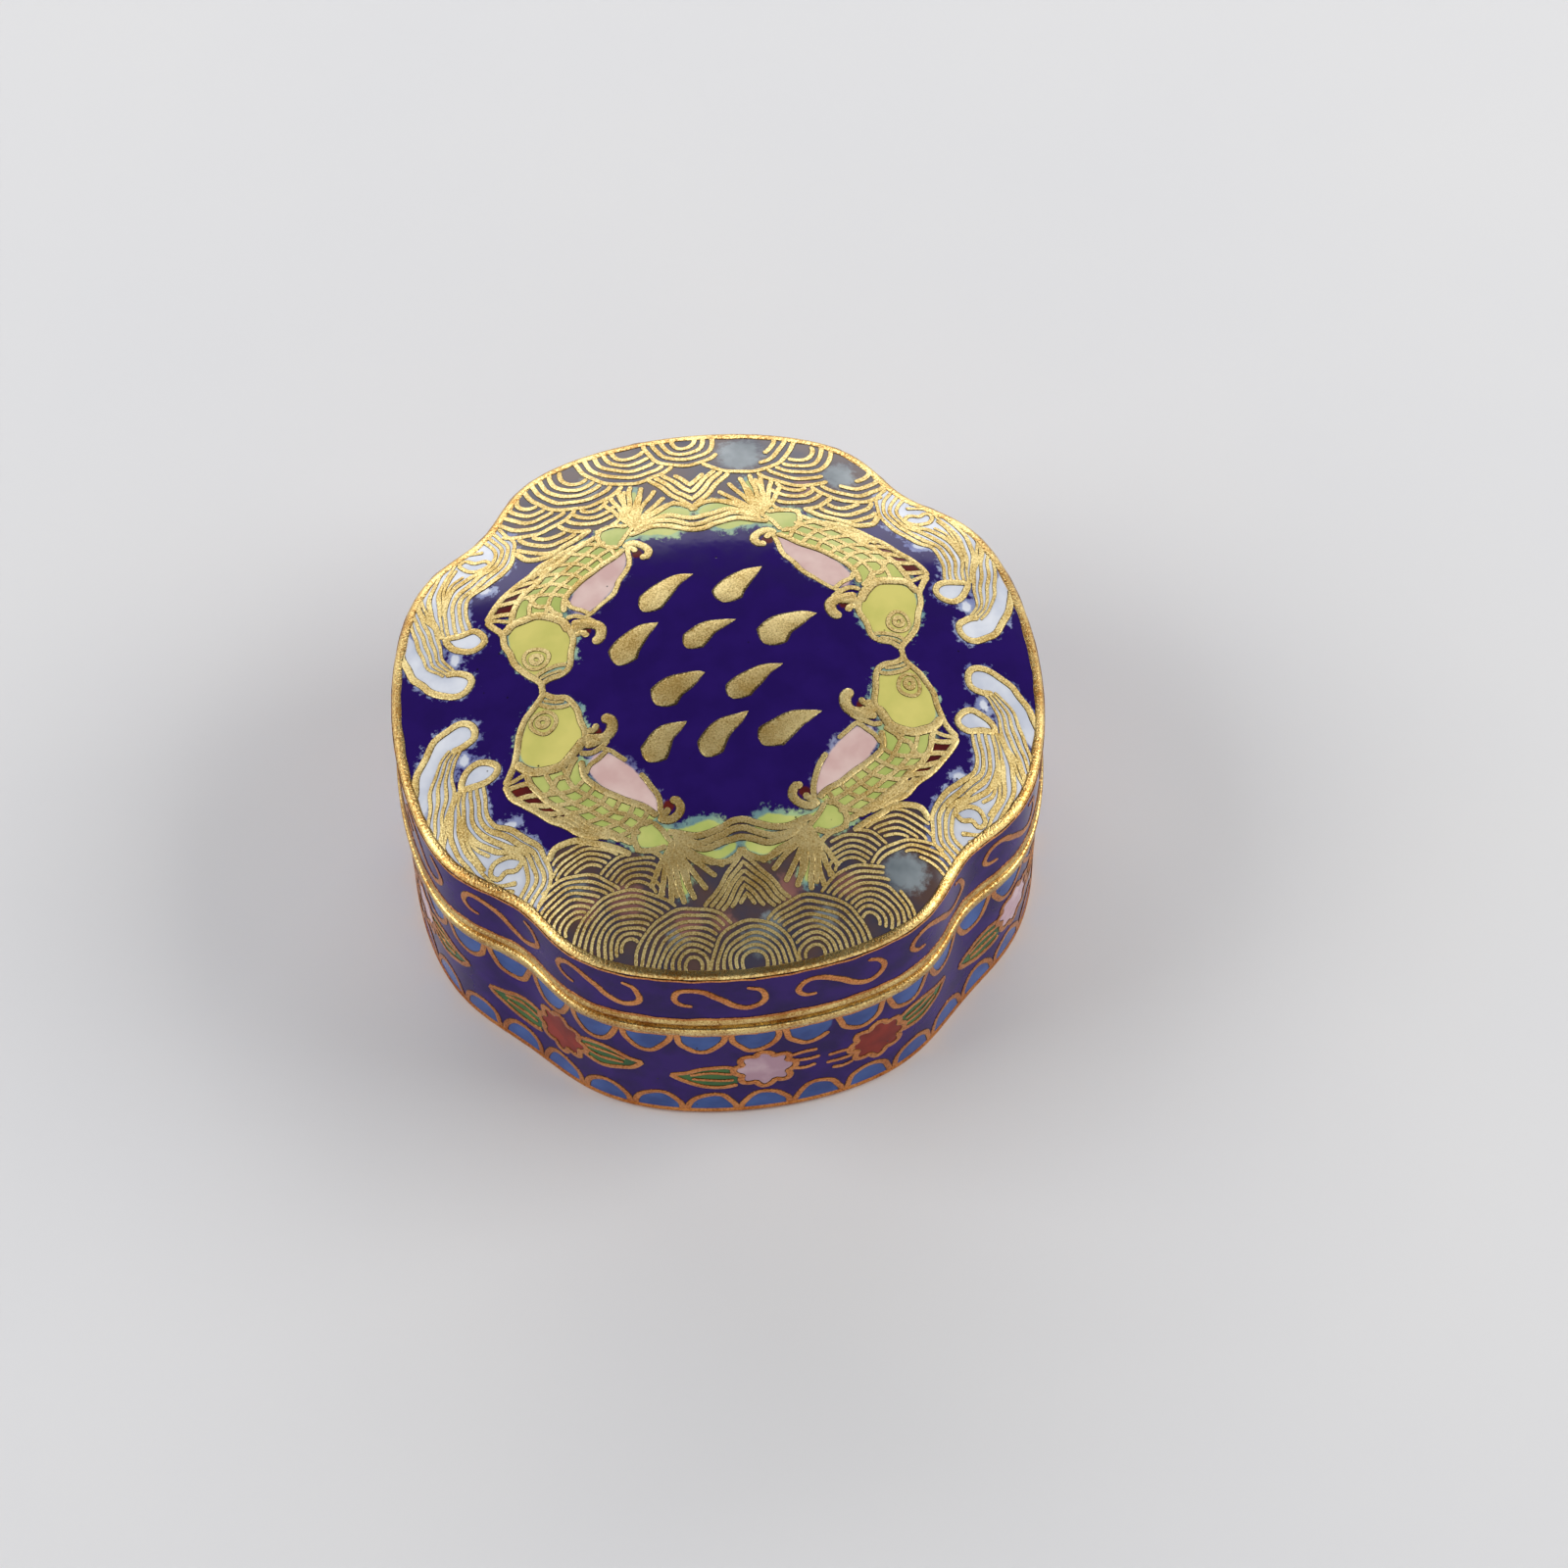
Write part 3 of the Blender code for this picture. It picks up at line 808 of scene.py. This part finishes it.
# %% Vitreous enamel
def vitreous_enamel(name, light, dark, layers=(), roughness=(0.14, 0.24), gloss=0.35):
    """Layers are (attribute, light, dark, reach, ragged, soft), the last three in millimetres."""
    material, shader, where = new_material(name, Specular_IOR_Level=gloss, IOR=1.5)
    cloud = add_node(material, "TexNoise", "Fac", {"Vector": where, "Scale": every(2.6), "Detail": 3.0})
    cloud = add_node(material, "MapRange", "Result", {"Value": cloud, "From Min": 0.36, "From Max": 0.64})
    tear = {"Vector": where, "Scale": every(0.6), "Detail": 5.0, "Roughness": 0.65}
    torn = add_node(material, "TexNoise", "Fac", tear)
    torn = add_node(material, "Math", 0, {0: torn, 1: 0.5}, operation="SUBTRACT")
    colour = add_node(material, "Mix", 2, {0: cloud, 6: linear(light), 7: linear(dark)}, data_type="RGBA")
    for attribute, light, dark, reach, ragged, soft in layers:
        away = add_node(material, "Attribute", "Fac", attribute_name=attribute)
        away = add_node(material, "Math", 0, {0: torn, 1: ragged * 2, 2: away}, operation="MULTIPLY_ADD")
        limits = {"Value": away, "From Min": reach - soft, "From Max": reach + soft}
        limits.update({"To Min": 1.0, "To Max": 0.0})
        inside = add_node(material, "MapRange", "Result", limits, interpolation_type="SMOOTHSTEP")
        glass = add_node(material, "Mix", 2, {0: cloud, 6: linear(light), 7: linear(dark)}, data_type="RGBA")
        colour = add_node(material, "Mix", 2, {0: inside, 6: colour, 7: glass}, data_type="RGBA")
    pits = add_node(material, "TexVoronoi", "Distance", {"Vector": where, "Scale": every(1.9)})
    pits = add_node(material, "MapRange", "Result", {"Value": pits, "From Min": 0.03, "From Max": 0.06})
    colour = add_node(material, "Mix", 2, {0: pits, 6: linear("#1A1218"), 7: colour}, data_type="RGBA")
    sheen = {"Value": cloud, "To Min": roughness[0], "To Max": roughness[1]}
    sheen = add_node(material, "MapRange", "Result", sheen)
    peel = add_node(material, "TexNoise", "Fac", {"Vector": where, "Scale": every(1.1), "Detail": 2.0})
    height = add_node(material, "Math", 0, {0: pits, 1: 0.7, 2: peel}, operation="MULTIPLY_ADD")
    bump = {"Height": height, "Strength": 0.3, "Distance": 0.02 * MM}
    bump = add_node(material, "Bump", "Normal", bump)
    give_shader(material, shader, Base_Color=colour, Roughness=sheen, Normal=bump)
    return material


PICTURE_LAYERS = [
    ("sea", "#594540", "#433F4D", 0.0, 0.5, 0.12),
    ("opal", "#8A9296", "#6C757A", 0.0, 1.1, 0.5),
    ("blush", "#94675C", "#745050", 0.0, 0.9, 0.4),
    ("foam", "#A4AECB", "#6A70A6", 0.3, 1.3, 0.2),
    ("belly", "#A9AEC4", "#6C6E9C", 0.25, 1.2, 0.3),
    ("head", "#A6C4A4", "#7698A0", 0.5, 1.3, 0.2),
    ("scales", "#A9C490", "#6F9090", 0.4, 1.2, 0.25),
    ("rust", "#6B231C", "#4A1A1E", 0.0, 0.25, 0.12),
    ("scales", "#C9CC78", "#B0BC66", 0.0, 0.2, 0.1),
    ("belly", "#E3C8C0", "#D3AFA9", 0.05, 0.15, 0.1),
    ("head", "#D9CF76", "#CBC56C", 0.05, 0.15, 0.1),
    ("foam", "#E4E7EE", "#C9CEDB", -0.05, 0.3, 0.1),
]
SIDE_LAYERS = [
    ("blue", "#435D98", "#34477F", 0.0, 0.15, 0.1),
    ("leaf", "#426B38", "#2F5232", 0.0, 0.2, 0.1),
    ("red", "#8A2C20", "#6A2019", 0.0, 0.2, 0.1),
    ("pink", "#CDB0B6", "#B08C98", 0.0, 0.2, 0.1),
]
VIOLET = ("#2F1062", "#230A4C")
SIDE_POLISH, SIDE_GLOSS = (0.06, 0.12), 0.08
picture_enamel = vitreous_enamel("picture_enamel", "#28145F", "#231056", PICTURE_LAYERS, (0.08, 0.15), 0.28)
violet_enamel = vitreous_enamel("violet_side_enamel", *VIOLET, (), SIDE_POLISH, SIDE_GLOSS)
flowered_enamel = vitreous_enamel("flowered_enamel", *VIOLET, SIDE_LAYERS, SIDE_POLISH, SIDE_GLOSS)
counter_enamel = vitreous_enamel("counter_enamel", "#2F7F93", "#256A80", roughness=(0.2, 0.34))
print("enamels:", [m.name for m in (picture_enamel, violet_enamel, flowered_enamel, counter_enamel)])

# %% [markdown]
# ## Gilding
#
# The wires and the edges are copper, gilded after the last grinding. Matt electroplated gold has a fine grain
# that scatters the light, so it shows broad soft lights and no mirror image. Dark specks follow the grain,
# and a painted shade darkens each wire's edge, where it meets the enamel. On the side the gold is thinner,
# and the copper warms it; that warm tint is also partly a painted reflection of warm red surroundings.


# %% Gilded copper
def gilded_copper(name, bright, dull, roughness, grain, relief):
    """Metal whose colour, roughness and bump follow one noise, a grain of so many millimetres."""
    material, shader, where = new_material(name, Metallic=1.0)
    fine = add_node(material, "TexNoise", "Fac", {"Vector": where, "Scale": every(grain), "Detail": 3.0})
    patch = add_node(material, "TexNoise", "Fac", {"Vector": where, "Scale": every(2.2), "Detail": 2.0})
    worn = add_node(material, "Math", 0, {0: patch, 1: 0.6, 2: fine}, operation="MULTIPLY_ADD")
    worn = add_node(material, "MapRange", "Result", {"Value": worn, "From Min": 0.62, "From Max": 0.98})
    colour = add_node(material, "Mix", 2, {0: worn, 6: linear(bright), 7: linear(dull)}, data_type="RGBA")
    # Painted shade and grain: the gold darkens towards each wire's edge, where the edge attribute rises, and
    # in dark specks where the grain is high.
    edge = add_node(material, "Attribute", "Fac", attribute_name="edge")
    edge = add_node(material, "Math", 0, {0: fine, 1: 1.6, 2: edge}, operation="MULTIPLY_ADD")
    grain_and_edge_shade = {"Value": edge, "From Min": 0.95, "From Max": 1.45, "To Max": 0.92}
    grain_and_edge_shade = {0: add_node(material, "MapRange", "Result", grain_and_edge_shade), 6: colour, 7: linear("#33210F")}
    colour = add_node(material, "Mix", 2, grain_and_edge_shade, data_type="RGBA")
    sheen = {"Value": fine, "From Min": 0.3, "From Max": 0.7, "To Min": roughness[0], "To Max": roughness[1]}
    sheen = add_node(material, "MapRange", "Result", sheen)
    bump = {"Height": fine, "Strength": 0.5, "Distance": relief * MM}
    bump = add_node(material, "Bump", "Normal", bump)
    give_shader(material, shader, Base_Color=colour, Roughness=sheen, Normal=bump)
    return material


picture_gilding = gilded_copper("picture_gilding", "#F7E2A2", "#BD9B55", (0.4, 0.56), 0.13, 0.05)
# The side's warm copper tint is partly real thin gilding over copper and partly a painted reflection of warm
# red surroundings.
side_gilding = gilded_copper("side_gilding", "#E39C58", "#B5652A", (0.28, 0.42), 0.16, 0.03)
edge_gilding = gilded_copper("edge_gilding", "#F2D68E", "#B07C3A", (0.22, 0.38), 0.16, 0.07)
print("gildings:", picture_gilding.name, side_gilding.name, edge_gilding.name)

# %% [markdown]
# ## The bowl's skin
#
# A skin is a stack of rings with evenly spaced points. The bowl's starts under its middle, runs out to the
# foot and up the wall with a ring every quarter of a millimetre, so that the cells' distances are fine
# enough, then over the gilt mouth and the collar that the lid drops over, and down the inside. Underneath
# and inside is plain counter-enamel, which a maker fires on so that the copper doesn't warp.


# %% Build the bowl's skin
def ring_angles(count):
    """Angles whose points lie evenly along the wall: the table of the wall's length, read backwards."""
    return np.interp(np.arange(count) / count * GIRTH, WALL_RUN, np.append(ALL_ROUND, TURN))


def level(angle, share, inset, height):
    """A ring of the plan, set in from the wall and then shrunk to a share, at a height."""
    plan = outline(angle, inset, max(0.0, 1 - height / BOWL_HEIGHT))[0] * share
    return np.column_stack([plan, np.full(len(angle), float(height))])


PLAIN, GILT, SIDE, PICTURE = range(4)
FOOT = 3  # the bowl has no picture, and its fourth finish is the thin gold of its foot
BOWL_COLUMNS, FOOT_RECESS, FLOOR_FILLET = 640, 0.15, 1.0
BEND, BEND_MIDDLE = 0.2, 0.06  # how far the collar's rounded edges reach, and how far their middles lie in
face, mouth_low = -MOUTH_BAND_PROUD, BOWL_HEIGHT - MOUTH_BAND
outer, inner = COLLAR_INSET, COLLAR_INSET + COLLAR_THICKNESS
top, low = BOWL_HEIGHT + COLLAR_RISE, BOWL_HEIGHT - COLLAR_DEPTH
foot = [(1.0, FOOT_RECESS), (0.95, 0.0), (0.2, 0.0), (0.05, 0.06)]
foot += [(-FOOT_BAND_PROUD, 0.3), (-FOOT_BAND_PROUD, FOOT_BAND - 0.1)]
wall = [(0.0, FOOT_BAND)] + [(0.0, height) for height in np.arange(FOOT_BAND + 0.25, mouth_low - 0.1, 0.25)]
mouth = [(0.0, mouth_low), (face + 0.08, mouth_low + 0.16), (face, mouth_low + 0.3), (face, mouth_low + 0.6)]
mouth += [(face, BOWL_HEIGHT - 0.18), (face + 0.08, BOWL_HEIGHT - 0.05), (face + 0.2, BOWL_HEIGHT)]
collar = [(outer, BOWL_HEIGHT), (outer, top - BEND), (outer + BEND_MIDDLE, top - BEND_MIDDLE)]
collar += [(outer + BEND, top), (inner - BEND, top), (inner - BEND_MIDDLE, top - BEND_MIDDLE)]
collar += [(inner, top - BEND), (inner, low)]
inside = [(BOWL_WALL, height) for height in (low, 9.5, 6.5, 4.0)]
for turn in np.linspace(0, np.pi / 2, 5):
    inset = BOWL_WALL + FLOOR_FILLET * (1 - np.cos(turn))
    inside.append((inset, BOWL_FLOOR + FLOOR_FILLET * (1 - np.sin(turn))))
sections = ((foot, FOOT), (wall, SIDE), (mouth + collar, GILT), (inside, PLAIN))
bowl_profile = [(share, 1.0, FOOT_RECESS, PLAIN) for share in (0.12, 0.35, 0.6, 0.8, 0.93)]
bowl_profile += [(1, *spot, finish) for section, finish in sections for spot in section]
bowl_profile += [(share, BOWL_WALL + FLOOR_FILLET, BOWL_FLOOR, PLAIN) for share in (0.9, 0.7, 0.45, 0.2)]
bowl_angles = ring_angles(BOWL_COLUMNS)
rings = np.stack([level(bowl_angles, *ring[:3]) for ring in bowl_profile])
finishes = [counter_enamel, edge_gilding, flowered_enamel, side_gilding]
finish_of_ring = np.array([ring[3] for ring in bowl_profile])
bowl_skin, bowl_points = add_skin("bowl_enamel", rings, "violet_enamel", finishes, finish_of_ring)
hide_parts("bowl")
strip_run = np.tile((np.arange(BOWL_COLUMNS) / BOWL_COLUMNS * GIRTH - FRONT_RUN) % GIRTH, len(rings))
strip = np.column_stack([np.append(strip_run, [0, 0]), bowl_points[:, 2]])
for name, cells in (("blue", BLUE_CELLS), ("red", RED_CELLS), ("pink", PINK_CELLS), ("leaf", LEAF_CELLS)):
    all_round = [cell + (shift, 0) for cell in cells for shift in (-GIRTH, 0, GIRTH)]
    store(bowl_skin, name, distance_to(strip, all_round))
print("bowl skin:", rings.shape, "rings and columns,", len(bowl_skin.data.polygons), "faces")

# %% [markdown]
# ## The lid's skin
#
# The lid is built the same way, from under its crown, down its inside, round its lower edge and up its side,
# over the rolled rim and in over the dome. The dome's rings lie a quarter of a millimetre apart.


# %% Build the lid's skin
def dome_level(angle, inset, thickness, share):
    """A ring of the dome: the plan shrunk to a share, with its lobes faded by the share squared, on a
    parabola that falls with the share squared, lowered by the thickness."""
    plan = outline(angle, inset)[0]
    away = np.linalg.norm(plan, axis=1, keepdims=True)
    circle = HALF_WIDTH - inset
    spot = plan / away * (circle + (away - circle) * share**2) * share
    height = RIM_HEIGHT - thickness + DOME_RISE * (1 - share**2)
    return np.column_stack([spot, np.full(len(angle), height)])


LID_COLUMNS, DOME_RINGS = 576, 98
UNDER_SHARES = (0.06, 0.2, 0.4, 0.6, 0.8, 0.92, 1.0)
ROLL_BARE = 3  # how many of the roll's lowest bands show enamel below the gilding
lid_angles = ring_angles(LID_COLUMNS)
crown = [dome_level(lid_angles, LID_WALL, LID_CROWN, share) for share in UNDER_SHARES]
band_top = LID_FOOT + LID_BAND
band = [(LID_WALL, 17.0), (LID_WALL, LID_FOOT), (0.04, LID_FOOT), (0.0, LID_FOOT + 0.02)]
band += [(-LID_BAND_PROUD, LID_FOOT + 0.2), (-LID_BAND_PROUD, band_top - 0.2), (0.0, band_top)]
side = [(0, height) for height in np.arange(band_top + 0.4, RIM_HEIGHT - 0.7, 0.4)]
turn = np.linspace(0, ROLL_TURN, 9)
roll = list(zip(RIM_ROLL * (1 - np.cos(turn)), RIM_HEIGHT - RIM_ROLL * (np.sin(ROLL_TURN) - np.sin(turn))))
dome = [dome_level(lid_angles, DOME_INSET, 0.0, share) for share in np.linspace(1, 0.01, DOME_RINGS)[1:]]
upright = [level(lid_angles, 1, inset, height) for inset, height in band + side + roll]
lid_rings = np.stack(crown + upright + dome)
finish_of_ring = [PLAIN] * (len(crown) + 1) + [GILT] * (len(band) - 2) + [SIDE] * (len(side) + 1 + ROLL_BARE)
finish_of_ring += [GILT] * (len(roll) - 1 - ROLL_BARE) + [PICTURE] * (len(dome) + 1)
finishes = [counter_enamel, edge_gilding, violet_enamel, picture_enamel]
lid_skin, lid_points = add_skin("lid_enamel", lid_rings, "indigo_enamel", finishes, np.array(finish_of_ring))
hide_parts("lid")
quarter = np.abs(drawn_at(lid_points[:, :2]))
PICTURE_CELLS = {
    "sea": [WAVE_ZONE],
    "head": [HEAD_CELL],
    "scales": [SCALE_CELL, TAIL_CELL, LEAF_CELL, EDGE_CELL],
    "belly": [BELLY_CELL],
    "rust": [RUST_CELL, arc((4.9, 11.6), 0.45, 0, 350), arc((9.6, 4.7), 0.45, 0, 350)],
    "foam": FOAM_CELLS,
}
for name, cells in PICTURE_CELLS.items():
    store(lid_skin, name, distance_to(quarter, cells))
OPAL_SPOTS = [(-16.2, 15.4, 1.1), (1.5, -21.6, 0.9), (0.2, -22.5, 0.9), (-5.4, -21.6, 0.7)]
OPAL_SPOTS += [(5.6, -21.2, 0.8), (-12.4, -16.6, 0.7), (-8.0, 20.0, 0.9)]
BLUSH_SPOTS = [(7.5, -19.0, 0.9), (-4.5, -20.6, 1.0), (8.8, 17.5, 0.8), (-8.8, -18.4, 1.2)]
BLUSH_SPOTS += [(3.2, -18.9, 1.0), (-1.9, -20.9, 0.7), (-11.8, -18.4, 0.9)]
STAINS = {"opal": WORN_PATCHES + OPAL_SPOTS, "blush": BLUSH_SPOTS}
for name, spots in STAINS.items():
    near = [np.hypot(lid_points[:, 0] - x, lid_points[:, 1] - y) - size for x, y, size in spots]
    store(lid_skin, name, np.min(near, axis=0))
print("lid skin:", lid_rings.shape, "rings and columns,", len(lid_skin.data.polygons), "faces")

# %% [markdown]
# ## The gilt rim and all the wires
#
# The rim is one strip of metal bent over the lid's edge: a flattened tube carried round the wall, a little
# uneven on its inner side, where the real one was filed without a guide. The wires then go on, dome first.


# %% Lay the metal
RIM_SUNK = 0.08  # how far the ends of the rim's section run down into the enamel
FILED_FROM = 0.6  # the filing shows from this far in


def rim_tube(columns, proud):
    """The rim's section, from the dome over the roll to the side, with its ends sunk. Each of its points is
    an inset, a height below the rim's dome line and a direction to lift in, all round the wall."""
    angle = ring_angles(columns)
    filed = 0.04 * np.sin(23 * angle) * np.sin(9 * angle + 1) + 0.03 * np.sin(57 * angle + 2)
    turn = np.append(np.linspace(ROLL_TURN, 0.45, 9), [0.4, 0.36])
    on_top = [BORDER + 0.05, BORDER, BORDER - 0.08, 0.57, 0.49]
    insets = np.append(on_top, RIM_ROLL * (1 - np.cos(turn)))
    tilt = np.append(np.full(len(on_top), ROLL_TURN), turn)
    drop = np.append(np.zeros(len(on_top)), RIM_ROLL * (np.sin(ROLL_TURN) - np.sin(turn)))
    lift = [-RIM_SUNK, 0.7 * proud] + [proud] * (len(insets) - 4) + [0.7 * proud, -RIM_SUNK]
    narrow = 1 - 0.45 * np.clip(-np.sin(angle), 0, 1) ** 2  # the front was ground down further
    rings = []
    for inset, lean, down, rise in zip(insets, tilt, drop, lift):
        if inset > DOME_INSET:
            inset = DOME_INSET + (inset - DOME_INSET + filed * (inset > FILED_FROM)) * narrow
        plan, outward = outline(angle, inset)
        height = RIM_HEIGHT - down
        if np.min(inset) > DOME_INSET:
            height = RIM_HEIGHT + DOME_RISE * (1 - dome_share(plan[:, 0], plan[:, 1]) ** 2)
        plan = plan + outward * rise * np.cos(lean)
        rings.append(np.column_stack([plan, np.broadcast_to(height + rise * np.sin(lean), len(angle))]))
    rings = np.stack(rings, 1)
    return rings.reshape(-1, 3), grid_faces(*rings.shape[:2], wrap_rows=True).tolist()


rim = add_mesh("lid_rim_gilding", *rim_tube(900, 0.07), "gilt", [edge_gilding])
rim.data.set_sharp_from_angle(angle=np.radians(25))
carp_wires = mirrored(carp) + mirrored(belly_edge, front_back=False)
add_wires("lid_carp_wires", carp_wires, on_picture, picture_gilding)
add_wires("lid_foam_wires", mirrored(foam), on_picture, picture_gilding)
add_wires("lid_sea_wires", back_sea + front_sea, on_picture, picture_gilding)
add_wires("lid_brush_dabs", dabs, on_picture, picture_gilding)
add_wires("lid_scroll_wires", scrolls, on_wall, side_gilding)
add_wires("bowl_scallop_wires", scallops, on_wall, side_gilding)
add_wires("bowl_flower_wires", garden, on_wall, side_gilding)

# %% [markdown]
# ## Floor, lights and camera
#
# The box stands on a plain pale board. The top is seen from 58 degrees up, so a polished lid mirrors what
# hangs behind it at the same height: that part of the room stays dim, which keeps the indigo deep. The gold
# is rough enough to gather light from well to either side of it, so the large lamps stand there. A long lamp
# low down behind the box lights its far rim.

# %% The floor
board, shader, where = new_material("painted_board", Roughness=0.7, Specular_IOR_Level=0.2)
mottle = add_node(board, "TexNoise", "Fac", {"Vector": where, "Scale": every(40.0), "Detail": 4.0})
paint = {0: mottle, 6: linear("#E2E2E4"), 7: linear("#E8E7E6")}
give_shader(board, shader, Base_Color=add_node(board, "Mix", 2, paint, data_type="RGBA"))
sheet = bpy.data.meshes.new("floor")
corners = [(x, y, -0.02 * MM) for x, y in ((-2, -2), (2, -2), (2, 2), (-2, 2))]
sheet.from_pydata(corners, [], [(0, 1, 2, 3)])
sheet.materials.append(board)
floor = bpy.data.objects.new("floor", sheet)
bpy.context.scene.collection.objects.link(floor)


# %% The lights
def towards(azimuth, elevation):
    """A direction from the box: azimuth in degrees, 0 towards the viewer and 90 to the right."""
    a, e = np.radians([azimuth, elevation])
    return Vector((np.sin(a) * np.cos(e), -np.cos(a) * np.cos(e), np.sin(e)))


def add_lamp(name, azimuth, elevation, distance, size, watts, tint):
    """A square soft box in metres and watts, facing the box."""
    lamp = bpy.data.lights.new(name, "AREA")
    lamp.shape, lamp.size, lamp.size_y = "RECTANGLE", *size
    lamp.energy, lamp.color = watts, linear(tint)[:3]
    holder = bpy.data.objects.new(name, lamp)
    way = towards(azimuth, elevation)
    holder.location = way * distance
    holder.rotation_euler = way.to_track_quat("Z", "Y").to_euler()
    bpy.context.scene.collection.objects.link(holder)


add_lamp("right_lamp", 88, 36, 0.75, (0.5, 0.45), 3.1, "#FFFEFB")
add_lamp("left_lamp", -92, 38, 0.75, (0.5, 0.45), 2.6, "#FFFFFF")
add_lamp("back_lamp", 180, 26, 0.8, (1.0, 0.28), 2.6, "#FBFCFF")
world = bpy.data.worlds.new("soft_room")
world.use_nodes = True
rise = add_node(world, "SeparateXYZ", "Z", {0: add_node(world, "TexCoord", "Generated")})
rise = add_node(world, "MapRange", "Result", {"Value": rise, "From Min": 0.22, "From Max": 0.58})
room = add_node(world, "Mix", 2, {0: rise, 6: linear("#EEF0F4"), 7: linear("#3A3B3F")}, data_type="RGBA")
world.node_tree.links.new(room, world.node_tree.nodes["Background"].inputs["Color"])
world.node_tree.nodes["Background"].inputs["Strength"].default_value = 1.4
bpy.context.scene.world = world
bpy.context.scene.view_settings.view_transform = "Standard"  # shows the glass as strong as a camera does

# %% The camera
LENS, SENSOR, DISTANCE = 90.0, 36.0, 301.09
AZIMUTH, ELEVATION, ROLL = -6.56, 57.95, np.radians(-0.65)
back = towards(AZIMUTH, ELEVATION)
level_right = (-back).cross(Vector((0, 0, 1))).normalized()
level_up = level_right.cross(-back)
right = level_right * np.cos(ROLL) + level_up * np.sin(ROLL)
up = level_up * np.cos(ROLL) - level_right * np.sin(ROLL)
camera = bpy.data.objects.new("camera", bpy.data.cameras.new("camera"))
camera.data.lens, camera.data.sensor_width, camera.data.sensor_fit = LENS, SENSOR, "HORIZONTAL"
place = (Vector((0, 0, RIM_HEIGHT)) + right * 5.118 - up * 6.974 + back * DISTANCE) * MM
axes = Matrix((right, up, back)).transposed()
camera.matrix_world = Matrix.Translation(place) @ axes.to_4x4()
camera.data.clip_start, camera.data.clip_end = 0.01, 10
bpy.context.scene.collection.objects.link(camera)
bpy.context.scene.camera = camera
print("camera at", [round(value, 4) for value in place])
